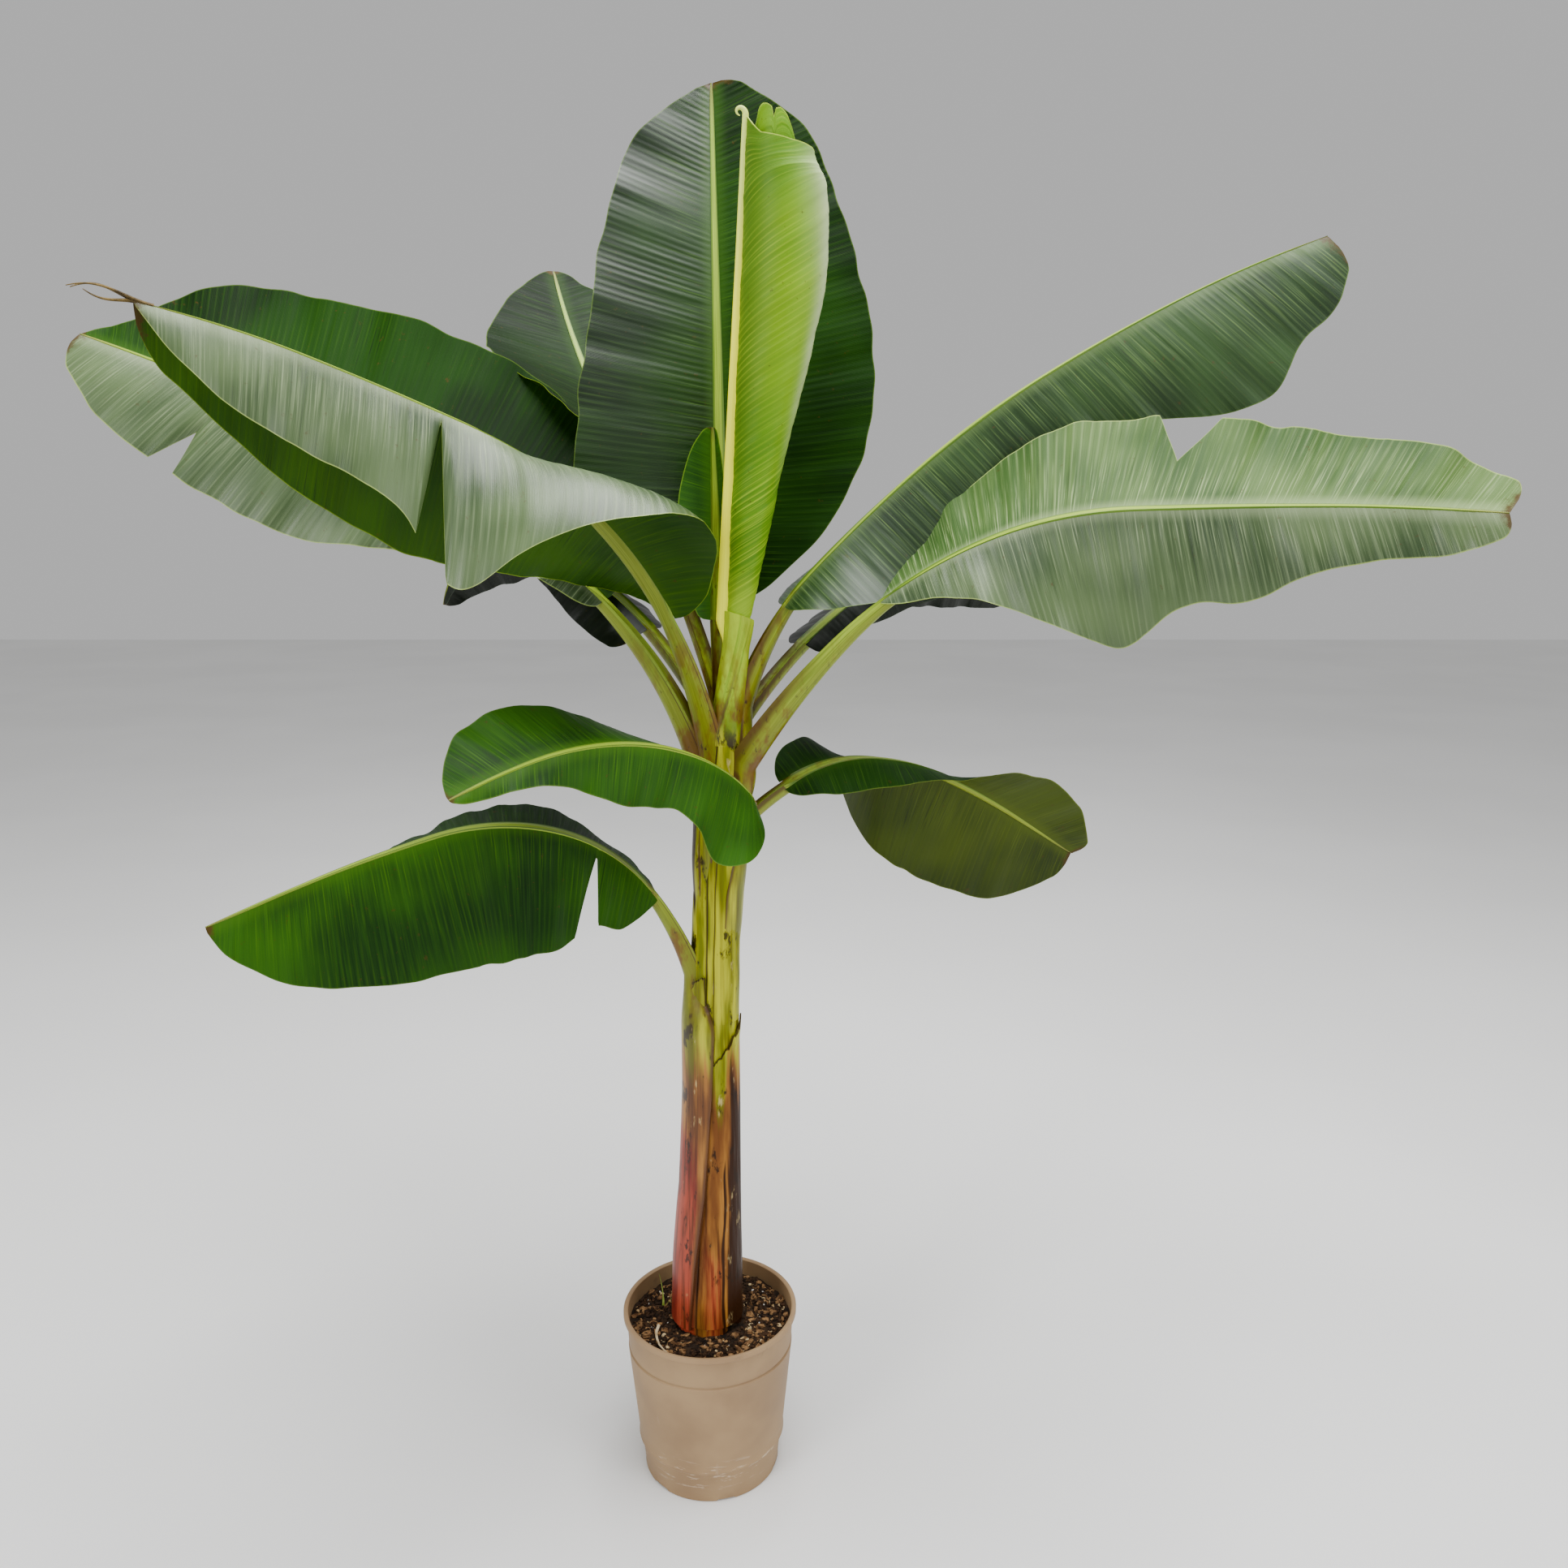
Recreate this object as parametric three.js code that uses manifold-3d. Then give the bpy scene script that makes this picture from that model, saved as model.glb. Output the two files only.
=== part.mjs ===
// A young banana plant in a nursery pot.
//
// Frame: millimetres, +Z up. The origin is the middle of the flat underside of
// the pot, -Y is the front of the plant and +X is its right-hand side.
//
// Every leaf is a stalk and a thin blade. A leaf is described by the heading of
// its rib seen from above (0 is +X, 90 is +Y, so 180 is left and 270 is front),
// by how steeply the rib climbs along its length, and by how far each half of
// the blade folds up (+) or hangs down (-) from the rib.
import * as THREE from 'three';
import { mergeVertices } from 'three/addons/utils/BufferGeometryUtils.js';
import Module from 'manifold-3d';

// ---------------------------------------------------------------- sizes, mm

const CLEARANCE = 0.3;            // gap between a piece and the one it rests on

const pot = {
  height: 270,
  rimRadius: 135,
  footRadius: 106,
  grooveHeight: 215,              // the fine groove below the rim band
  grooveRadius: 127.5,
  stepHeight: 55,                 // the low step above the foot
  stepRadius: 112,
  lipHeight: 9,
  wall: 2.5,
  floor: 5,
  notchHeight: 3.5,               // the drainage notches in the foot
  notchWidth: 26,
  notchReach: 10,                 // how far in they go
  notches: 6,
  firstNotch: -75,                // heading of one of the notches
  bandLean: 5,                    // from the rim in to the band below it
  bead: 1,                        // how far the step and the groove's upper edge stand out
  rounding: 3,                    // height of the slope under the step
  lipSlope: 1.5,                  // and of the slope under the lip
  sides: 32,
};

const soil = { top: 246, crown: 6, slack: 1 };

// The false stem: centre and radius at a few heights. It leans to the right.
const stem = [
  { z: 236, x: -3, radius: 53 },
  { z: 280, x: -2, radius: 51 },
  { z: 360, x: 1, radius: 48 },
  { z: 480, x: 7, radius: 41 },
  { z: 640, x: 11, radius: 37 },
  { z: 850, x: 14, radius: 35 },
  { z: 1000, x: 20, radius: 33 },
  { z: 1100, x: 28, radius: 32 },
  { z: 1165, x: 33, radius: 30 },
];
const stemSides = 20;

const stalk = {
  depth: 0.8,                     // depth of a stalk, as a share of its width
  channel: 3,                     // depth of the channel along its top
  stations: 4,
  across: 5,                      // points across its top, and round its underside
};

// Old leaf sheaths that still wrap the stem: the part of the round they cover,
// counted in sides of the stem, and the heights between which they stand.
const sheaths = [
  { name: 'sheath_red', from: 9, to: 14, low: 262, high: 800, slant: 60, thick: 3.5, color: 0xa85a44 },
  { name: 'sheath_cut', from: 15, to: 20, low: 262, high: 735, slant: 45, thick: 4, color: 0xb98a45 },
  { name: 'sheath_dark', from: 1, to: 8, low: 262, high: 960, slant: -80, thick: 3, color: 0x5a4530 },
  { name: 'sheath_upper', from: 15, to: 20, low: 800, high: 1030, slant: 60, thick: 3, color: 0x9a9140 },
];
const sheathGap = 1;              // from the stem to the back of a sheath
const sheathEdge = 1.2;           // thickness of a sheath at its side edges
const sheathRows = 8;

const blade = {
  thick: 3,
  ribWidth: 20,                   // width of the rib under the blade at its base
  ribTip: 4,                      // and at its tip
  least: 3,                       // the least a half reaches beyond the rib
  ribDepth: 16,                   // depth of the rib at its base
  shoulder: 0.35,                 // share of the fold that the top of the rib takes
  ribSteps: 60,                   // the steps in which the rib is drawn
  stations: 9,
  closest: 0.012,                 // the least from the blade's ends to the next station
  across: [0.5, 1],               // where the section is cut across each half
  lean: [-5, 28],                 // forward lean of the side veins, at the base and the tip
};

// heading         heading of the rib, at equal steps from foot to tip
// climb           climb of the rib, at equal steps from foot to tip
// foot            where the rib leaves the stem: height, how far out, and
//                 which way if that isn't the first heading
// stalk, length   length of the stalk and of the blade, along the rib
// stalkWidth      width of the stalk where it leaves the stem
// bend            where along the blade it is divided, if it bends a lot
// left, right     the halves, seen looking from foot to tip, at equal steps
//   widths        from the middle of the rib to the margin
//   fold          angle above (+) or below (-) level
//   curl          how much more the margin bends than the rib side
// lean            forward lean of the side veins at the base and the tip
// tears           cuts in from the margin: side, place along the blade, depth
//                 as a share of the width, and half opening along the blade
const leaves = [
  {
    name: 'leaf_left', heading: [203, 209], foot: { z: 1165, out: 10 },
    stalk: 190, stalkWidth: 40, length: 745,
    climb: [76, 62, 43, 23, 20, 10], lean: [-14, -6], bend: 0.42,
    left: {
      widths: [40, 105, 158, 186, 190, 200, 222, 150, 124, 114, 100, 70, 15],
      fold: [50, 68, 36, -50, -62, -64, -60], curl: [0, -75, -100, -30, -20, -20, -20],
    },
    right: {
      widths: [35, 115, 165, 185, 172, 128, 50],
      fold: [10, -30, -50, -65, -69, -70, -70], curl: [-10, -10],
    },
    tears: [{ side: 'left', at: 0.54, depth: 0.95, open: 0.025 }],
  },
  {
    name: 'leaf_far_left', heading: [172, 178], foot: { z: 1130, out: 16 },
    stalk: 280, stalkWidth: 44, length: 810,
    climb: [70, 49, 31, 23, 23, 18], bend: 0.42,
    left: {
      widths: [32, 58, 115, 155, 145, 112, 35],
      fold: [-40, -48, -54, -60, -57, -54, -50], curl: [-20, -20],
    },
    right: {
      widths: [40, 130, 195, 222, 230, 225, 215, 205, 192, 172, 128, 60, 10],
      fold: [40, 47, 52, 55, 50, 45, 30], curl: [10, 10],
    },
    tears: [{ side: 'left', at: 0.72, depth: 0.46, open: 0.024 }],
  },
  {
    name: 'leaf_back', heading: [96, 96], foot: { z: 1235, out: 26 },
    stalk: 125, stalkWidth: 24, length: 722,
    climb: [84, 82, 80, 78, 77, 77],
    left: {
      widths: [40, 190, 195, 175, 150, 105, 6],
      fold: [0, 4, 8, 8, 5, 2, 0], curl: [5, 5],
    },
    right: {
      widths: [40, 165, 216, 210, 178, 132, 26],
      fold: [10, 10, 10, 8, 5, 2, 0], curl: [5, 5],
    },
    tears: [],
  },
  {
    name: 'leaf_back_left', heading: [132, 128, 124, 120, 116, 112], foot: { z: 1235, out: 14 },
    stalk: 170, stalkWidth: 22, length: 680,
    climb: [64, 54, 46, 42, 44, 50],
    left: {
      widths: [50, 90, 130, 165, 148, 90, 15],
      fold: [60, 50, 40, 20, 5, 0, 0], curl: [0, 0],
    },
    right: {
      widths: [50, 120, 150, 150, 130, 90, 15],
      fold: [20, 15, 10, 10, 5, 0, 0], curl: [0, 0],
    },
    tears: [],
  },
  {
    name: 'leaf_hanging_left', heading: [150, 160], foot: { z: 1200, out: 18 },
    stalk: 160, stalkWidth: 24, length: 460,
    climb: [55, 46, 34, 25, -30, -80],
    left: {
      widths: [70, 75, 62, 45, 28, 22, 10],
      fold: [-30, -50, -70, -70, -70, -70, -70], curl: [-10, -10],
    },
    right: {
      widths: [40, 90, 120, 110, 90, 60, 15],
      fold: [0, -10, -20, -30, -40, -40, -40], curl: [-20, -20],
    },
    tears: [],
  },
  {
    name: 'leaf_hanging_right', heading: [38, 38], foot: { z: 1190, out: 18 },
    stalk: 160, stalkWidth: 24, length: 480,
    climb: [48, 38, 28, 12, -15, -40],
    left: {
      widths: [40, 90, 120, 110, 90, 60, 15],
      fold: [0, -10, -20, -30, -40, -40, -40], curl: [-20, -20],
    },
    right: {
      widths: [40, 46, 58, 58, 49, 30, 10],
      fold: [-30, -50, -70, -70, -70, -70, -70], curl: [-10, -10],
    },
    tears: [],
  },
  {
    name: 'leaf_young', heading: [110, 110], foot: { z: 1262, out: 17, toward: 125 },
    stalk: 75, stalkWidth: 16, length: 260,
    climb: [90, 90, 88, 86, 86, 86],
    left: {
      widths: [25, 42, 52, 52, 46, 32, 8],
      fold: [-5, -5, -5, -5, -5, -5, -5], curl: [0, 0],
    },
    right: {
      widths: [13, 15, 18, 18, 16, 12, 6],
      fold: [-5, -5, -5, -5, -5, -5, -5], curl: [0, 0],
    },
    tears: [],
  },
  {
    name: 'leaf_upper_right', heading: [6, 0], foot: { z: 1225, out: 12 },
    stalk: 150, stalkWidth: 36, length: 882,
    climb: [69, 47, 40, 31, 26, 18], bend: 0.45,
    left: {
      widths: [60, 110, 140, 140, 130, 110, 35],
      fold: [20, -20, -50, -55, -60, -60, -60], curl: [-20, -20],
    },
    right: {
      widths: [35, 100, 126, 130, 130, 126, 120, 120, 162, 174, 130, 98, 40],
      fold: [-20, -60, -75, -75, -70, -65, -60], curl: [-15, -15],
    },
    tears: [],
  },
  {
    name: 'leaf_lower_right', heading: [-14, -20], foot: { z: 1150, out: 16 },
    stalk: 300, stalkWidth: 46, length: 765,
    climb: [54, 44, 26, 2, 0, -5], bend: 0.4,
    left: {
      widths: [40, 115, 150, 150, 122, 98, 42],
      fold: [20, 35, 45, 45, 45, 45, 45], curl: [10, 10],
    },
    right: {
      widths: [20, 55, 100, 150, 178, 128, 118, 85, 66, 55, 24],
      fold: [-30, -50, -70, -75, -70, -65, -60], curl: [-20, -20],
    },
    tears: [{ side: 'left', at: 0.5, depth: 0.48, open: 0.045 }],
  },
  {
    name: 'leaf_low_front', heading: [320, 235, 215, 210, 205, 205],
    foot: { z: 1035, out: 30, toward: 335 },
    stalk: 60, stalkWidth: 22, length: 490,
    climb: [56, 42, 22, 2, -17, -25],
    left: {
      widths: [22, 116, 130, 102, 82, 84, 84, 70, 50, 36, 28, 20, 8],
      fold: [-60, -70, -70, -65, -60, -50, -40], curl: [-10, -10],
    },
    right: {
      widths: [25, 80, 90, 95, 105, 84, 12],
      fold: [-20, -20, -10, 10, 30, 40, 40], curl: [0, 0],
    },
    tears: [],
  },
  {
    name: 'leaf_low_right', heading: [15, 15], foot: { z: 1040, out: 18 },
    stalk: 95, stalkWidth: 22, length: 520,
    climb: [44, 26, -9, -28, -34, -35],
    left: {
      widths: [30, 110, 160, 170, 162, 128, 36],
      fold: [60, 10, -60, -70, -70, -65, -60], curl: [-10, -10],
    },
    right: {
      widths: [25, 60, 60, 60, 90, 75, 25],
      fold: [-60, -50, -30, 10, 50, 55, 55], curl: [0, 0],
    },
    tears: [],
  },
  {
    name: 'leaf_low_left', heading: [196, 200], foot: { z: 830, out: 22 },
    stalk: 130, stalkWidth: 32, length: 655,
    climb: [70, 51, 16, -14, -19, -22], lean: [-24, 28], bend: 0.3,
    left: {
      widths: [22, 88, 112, 160, 182, 192, 192, 186, 172, 150, 120, 72, 15],
      fold: [-50, -60, -75, -75, -75, -72, -70], curl: [-10, -10],
    },
    right: {
      widths: [30, 80, 90, 90, 80, 60, 10],
      fold: [0, 0, 5, -5, -20, -40, -40], curl: [0, 0],
    },
    tears: [{ side: 'left', at: 0.18, depth: 0.86, open: 0.03 }],
  },
];

// The youngest leaf, still rolled up, and the sheath it grows out of.
const heart = {
  low: 1165, high: 1335,
  lowRadius: 26, highRadius: 17,
  x: 33, leanX: 19, leanY: -6,
  sides: 14,
  stations: 4,
};
const spear = {
  high: 1965,                     // height of the rim of the roll
  edgeLow: 35, edgeHigh: 68,      // the straight left edge, at the foot and the rim
  y: -6, leanY: -40,              // middle of the foot, and how far the top leans
  radii: [18, 26, 34, 43, 53, 60, 57, 46],
  turns: 1.3,                     // how many times the blade goes round
  seam: 196,                      // heading of the outer edge, where the rib is
  pitch: 9,                       // distance between one turn and the next
  tightest: 0.3,                  // the most that distance may be, as a share of the radius
  rise: 25,                       // how much the rim climbs in one turn
  lowered: 12,                    // how far the rim's outer edge lies under the rim's height
  wall: 2.5,
  steps: 18,
  stations: 7,
};

// ------------------------------------------------------------- small helpers

const wasm = await Module();
wasm.setup();

const rad = THREE.MathUtils.degToRad;
const lerp = THREE.MathUtils.lerp;
const clamp = THREE.MathUtils.clamp;

// Reads a value from a list spread evenly over 0..1.
function along(values, u) {
  const place = clamp(u, 0, 1) * (values.length - 1);
  const i = Math.min(Math.floor(place), values.length - 2);
  return lerp(values[i], values[i + 1], place - i);
}

// The same, but on a smooth curve through the values.
function smoothAlong(values, u) {
  const last = values.length - 1;
  const place = clamp(u, 0, 1) * last;
  const i = Math.min(Math.floor(place), last - 1);
  const t = place - i;
  const before = i > 0 ? values[i - 1] : 2 * values[0] - values[1];
  const after = i + 2 <= last ? values[i + 2] : 2 * values[last] - values[last - 1];
  const slopeIn = (values[i + 1] - before) / 2;
  const slopeOut = (after - values[i]) / 2;
  const rise = values[i + 1] - values[i];
  const square = 3 * rise - 2 * slopeIn - slopeOut;
  const cube = slopeIn + slopeOut - 2 * rise;
  return values[i] + t * (slopeIn + t * (square + t * cube));
}

// Centre and radius of the false stem at one height.
function stemAt(z) {
  const top = stem.length - 1;
  let i = 0;
  while (i < top - 1 && stem[i + 1].z < z) i += 1;
  const t = clamp((z - stem[i].z) / (stem[i + 1].z - stem[i].z), 0, 1);
  return {
    x: lerp(stem[i].x, stem[i + 1].x, t),
    radius: lerp(stem[i].radius, stem[i + 1].radius, t),
  };
}

// Splits a four-cornered face into two triangles, along the diagonal that
// keeps both of them facing the same way.
function splitFace(corners, numbers) {
  const [a, b, c, d] = numbers;
  const facing = (p, q, r) => {
    const edge = corners[q].clone().sub(corners[p]);
    return edge.cross(corners[r].clone().sub(corners[p]));
  };
  const sound = facing(a, b, c).dot(facing(a, c, d)) > 0;
  return sound ? [a, b, c, a, c, d] : [a, b, d, b, c, d];
}

// Joins closed rings of equal length into one solid. Each ring is a list of
// points in order round the piece. The ends are closed by joining the two
// sides of the ring across, so a thin flat section keeps its shape. The second
// half of the ring is split along the same diagonals as the first half, so
// that the two faces of a thin twisted sheet stay apart.
function loft(rings) {
  const n = rings[0].length;
  const corners = rings.flat();
  const points = corners.flatMap((p) => [p.x, p.y, p.z]);
  const faces = [];
  for (let r = 0; r < rings.length - 1; r += 1) {
    for (let i = 0; i < n; i += 1) {
      const a = r * n + i;
      const b = r * n + ((i + 1) % n);
      if (i < n / 2) faces.push(a, b, b + n, a, b + n, a + n);
      else faces.push(a, b, a + n, b, b + n, a + n);
    }
  }
  const last = (rings.length - 1) * n;
  for (let i = 0; i < n / 2 - 1; i += 1) {
    const j = n - 1 - i;
    faces.push(...splitFace(corners, [i, j, j - 1, i + 1]));
    faces.push(...splitFace(corners, [last + i, last + i + 1, last + j - 1, last + j]));
  }
  return solid(points, faces);
}

function solid(points, faces) {
  const geometry = new THREE.BufferGeometry();
  geometry.setAttribute('position', new THREE.Float32BufferAttribute(points, 3));
  geometry.setIndex(faces);
  return toManifold(geometry);
}

function toManifold(source) {
  const geometry = source.clone();
  geometry.deleteAttribute('normal');
  geometry.deleteAttribute('uv');
  const merged = mergeVertices(geometry, 1e-4);
  const mesh = new wasm.Mesh({
    numProp: 3,
    vertProperties: new Float32Array(merged.attributes.position.array),
    triVerts: new Uint32Array(merged.index.array),
  });
  return new wasm.Manifold(mesh);
}

function toGeometry(manifold) {
  const mesh = manifold.getMesh();
  const geometry = new THREE.BufferGeometry();
  geometry.setAttribute('position', new THREE.Float32BufferAttribute(mesh.vertProperties, 3));
  geometry.setIndex(new THREE.Uint32BufferAttribute(mesh.triVerts, 1));
  geometry.computeVertexNormals();
  return geometry;
}

// ------------------------------------------------------------------- the rib

// Walks along a leaf's rib and returns a function from the distance along it to
// the point there, with the forward, side and upward directions.
function ribOf(leaf) {
  const total = leaf.stalk + leaf.length;
  const steps = blade.ribSteps;
  const foot = stemAt(leaf.foot.z);
  const start = rad(leaf.foot.toward ?? leaf.heading[0]);
  const point = new THREE.Vector3(
    foot.x + leaf.foot.out * Math.cos(start),
    leaf.foot.out * Math.sin(start),
    leaf.foot.z,
  );
  const frames = [];
  for (let i = 0; i <= steps; i += 1) {
    const u = i / steps;
    const heading = rad(along(leaf.heading, u));
    const climb = rad(along(leaf.climb, u));
    const forward = new THREE.Vector3(
      Math.cos(climb) * Math.cos(heading),
      Math.cos(climb) * Math.sin(heading),
      Math.sin(climb),
    );
    const side = new THREE.Vector3(-Math.sin(heading), Math.cos(heading), 0);
    const up = new THREE.Vector3().crossVectors(forward, side);
    frames.push({ point: point.clone(), forward, side, up });
    point.addScaledVector(forward, total / steps);
  }
  return (distance) => {
    const place = clamp(distance / total, 0, 1) * steps;
    const i = Math.min(Math.floor(place), steps - 1);
    const t = place - i;
    const mix = (key) => frames[i][key].clone().lerp(frames[i + 1][key], t);
    return { point: mix('point'), forward: mix('forward'), side: mix('side'), up: mix('up') };
  };
}

// ------------------------------------------------------------------ a stalk

// The stalk is a shallow channel: round below and hollowed along the top.
function stalkSolid(leaf, grow) {
  const rib = ribOf(leaf);
  const rings = [];
  for (let i = 0; i <= stalk.stations; i += 1) {
    const u = i / stalk.stations;
    const { point, side, up } = rib(leaf.stalk * u + (i === stalk.stations ? grow : 0));
    const half = lerp(leaf.stalkWidth, blade.ribWidth, u) / 2 + grow;
    const deep = lerp(leaf.stalkWidth * stalk.depth, blade.ribDepth, u) + grow;
    const ring = [];
    for (let k = 0; k < stalk.across; k += 1) {
      const a = (k / (stalk.across - 1)) * 2 - 1;
      const top = blade.thick / 2 - stalk.channel * (1 - a * a) + grow;
      ring.push(point.clone().addScaledVector(side, -a * half).addScaledVector(up, top));
    }
    for (let k = 0; k < stalk.across; k += 1) {
      const a = Math.PI * (k + 0.5) / stalk.across;
      ring.push(point.clone()
        .addScaledVector(side, -half * Math.cos(a))
        .addScaledVector(up, -deep * Math.sin(a)));
    }
    rings.push(ring);
  }
  return loft(rings);
}

// ------------------------------------------------------------------ a blade

// How much of the width is left where the margin is torn.
function torn(leaf, sideName, u) {
  let share = 1;
  for (const tear of leaf.tears) {
    if (tear.side !== sideName) continue;
    const near = 1 - Math.abs(u - tear.at) / tear.open;
    if (near > 0) share = Math.min(share, 1 - tear.depth * near);
  }
  return share;
}

function stationsOf(leaf, from, to) {
  const list = [];
  for (let i = 0; i <= blade.stations; i += 1) list.push(i / blade.stations);
  for (const tear of leaf.tears) list.push(tear.at - tear.open, tear.at, tear.at + tear.open);
  const between = list.filter((u) => u > from + blade.closest && u < to - blade.closest);
  return [...between, from, to].sort((a, b) => a - b);
}

// One line across half of the blade, from the edge of the rib to the margin.
// It leans forward more and more toward the tip, as the side veins do. The top
// of the rib takes only a share of the fold, so that its keel has room below.
function halfLine(leaf, sideName, u, frame, ribHalf, grow) {
  const half = leaf[sideName];
  const sign = sideName === 'left' ? 1 : -1;
  const whole = smoothAlong(half.widths, u) * torn(leaf, sideName, u);
  const width = Math.max(whole, ribHalf + blade.least) + grow;
  const lean = Math.tan(rad(lerp(...(leaf.lean ?? blade.lean), u)));
  const fold = smoothAlong(half.fold, u);
  const curl = smoothAlong(half.curl, u);
  const point = frame.point.clone();
  const line = [];
  let before = 0;
  for (const share of [0, ...blade.across]) {
    const reach = lerp(ribHalf, width, share);
    const onRib = share === 0;
    const angle = rad(onRib ? fold * blade.shoulder : fold + (curl * (before + reach)) / 2 / width);
    const length = reach - before;
    point.addScaledVector(frame.side, sign * length * Math.cos(angle));
    point.addScaledVector(frame.up, length * Math.sin(angle));
    if (!onRib) point.addScaledVector(frame.forward, length * lean);
    const normal = new THREE.Vector3()
      .addScaledVector(frame.side, -sign * Math.sin(angle))
      .addScaledVector(frame.up, Math.cos(angle));
    line.push({ point: point.clone(), normal });
    before = reach;
  }
  return line;
}

function bladeSolid(leaf, from, to, grow) {
  const rib = ribOf(leaf);
  const rings = [];
  const half = blade.thick / 2 + grow;
  for (const u of stationsOf(leaf, from, to)) {
    const frame = rib(leaf.stalk + CLEARANCE + (leaf.length - CLEARANCE) * u);
    const ribHalf = lerp(blade.ribWidth, blade.ribTip, u) / 2;
    const ribDeep = lerp(blade.ribDepth, blade.thick, u) - blade.thick;
    const left = halfLine(leaf, 'left', u, frame, ribHalf, grow);
    const right = halfLine(leaf, 'right', u, frame, ribHalf, grow);
    const middle = { point: frame.point.clone(), normal: frame.up.clone() };
    const row = [...left.reverse(), middle, ...right];
    const centre = (row.length - 1) / 2;
    const upper = row.map((p) => p.point.clone().addScaledVector(p.normal, half));
    const lower = row.map((p, k) => p.point.clone()
      .addScaledVector(p.normal, -half - (k === centre ? ribDeep : 0)));
    rings.push([...upper, ...lower.reverse()]);
  }
  return loft(rings);
}

// -------------------------------------------------------- stem and the heart

// A ring of points round an upright axis.
function ringAt(x, y, z, radius, sides) {
  const ring = [];
  for (let i = 0; i < sides; i += 1) {
    const a = (2 * Math.PI * i) / sides;
    ring.push(new THREE.Vector3(x + radius * Math.cos(a), y + radius * Math.sin(a), z));
  }
  return ring;
}

function stemSolid(grow) {
  const [low, high] = [stem[0], stem.at(-1)];
  const rings = stem.map(({ z, x, radius }) => ringAt(x, 0, z, radius + grow, stemSides));
  if (grow > 0) {
    rings.unshift(ringAt(low.x, 0, low.z - grow, low.radius + grow, stemSides));
    rings.push(ringAt(high.x, 0, high.z + grow, high.radius + grow, stemSides));
  }
  return loft(rings);
}

function heartSolid(grow) {
  const rings = [];
  const low = heart.low + CLEARANCE - grow;
  for (let i = 0; i <= heart.stations; i += 1) {
    const t = i / heart.stations;
    const z = lerp(low, heart.high + grow, t);
    const radius = lerp(heart.lowRadius, heart.highRadius, t) + grow;
    rings.push(ringAt(heart.x + heart.leanX * t, heart.leanY * t, z, radius, heart.sides));
  }
  return loft(rings);
}

// An old sheath lies round part of the stem, with its top edge cut on a slant.
// Its sides are those of the stem, so that the two lie flat on each other.
function sheathSolid(sheath, grow) {
  const columns = sheath.to - sheath.from;
  const rings = [];
  for (let r = 0; r <= sheathRows; r += 1) {
    const inner = [];
    const outer = [];
    for (let c = 0; c <= columns; c += 1) {
      const u = c / columns;
      const z = lerp(sheath.low - grow, sheath.high + sheath.slant * (u - 0.5) + grow, r / sheathRows);
      const at = stemAt(z);
      const a = (2 * Math.PI * (sheath.from + c)) / stemSides + ((2 * u - 1) * grow) / at.radius;
      const near = at.radius + sheathGap - grow;
      const far = near + Math.max(sheath.thick * Math.sin(Math.PI * u), sheathEdge) + 2 * grow;
      const place = (radius) => new THREE.Vector3(at.x + radius * Math.cos(a), radius * Math.sin(a), z);
      inner.push(place(near));
      outer.push(place(far));
    }
    rings.push([...outer, ...inner.reverse()]);
  }
  return loft(rings);
}

// ------------------------------------------------------------------ the spear

// The rolled leaf: a sheet wound on itself, narrow at the foot and open at the
// top. Its inner edge stands a little higher than its outer edge.
function spearSolid() {
  const rings = [];
  for (let s = 0; s <= spear.stations; s += 1) {
    const t = s / spear.stations;
    const outerRadius = smoothAlong(spear.radii, t);
    const inner = [];
    const outer = [];
    for (let i = 0; i <= spear.steps; i += 1) {
      const turn = (i / spear.steps) * spear.turns;
      const a = rad(spear.seam) + turn * 2 * Math.PI;
      const pitch = Math.min(spear.pitch, outerRadius * spear.tightest);
      const radius = outerRadius - pitch * turn;
      const rim = t === 1 ? spear.rise * turn - spear.lowered : 0;
      const z = lerp(heart.high + CLEARANCE, spear.high, t) + rim;
      const place = (r) => new THREE.Vector3(
        lerp(spear.edgeLow, spear.edgeHigh, t) + outerRadius + r * Math.cos(a),
        spear.y + spear.leanY * t + r * Math.sin(a),
        z,
      );
      outer.push(place(radius));
      inner.push(place(radius - spear.wall));
    }
    rings.push([...outer, ...inner.reverse()]);
  }
  return loft(rings);
}

// ------------------------------------------------------------------- the pot

function potRadius(z) {
  if (z < pot.stepHeight) return lerp(pot.footRadius, pot.stepRadius, z / pot.stepHeight);
  const t = (z - pot.stepHeight) / (pot.grooveHeight - pot.stepHeight);
  if (t <= 1) return lerp(pot.stepRadius, pot.grooveRadius, t);
  const band = (z - pot.grooveHeight) / (pot.height - pot.grooveHeight);
  return lerp(pot.grooveRadius, pot.rimRadius - pot.bandLean, band);
}

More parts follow.
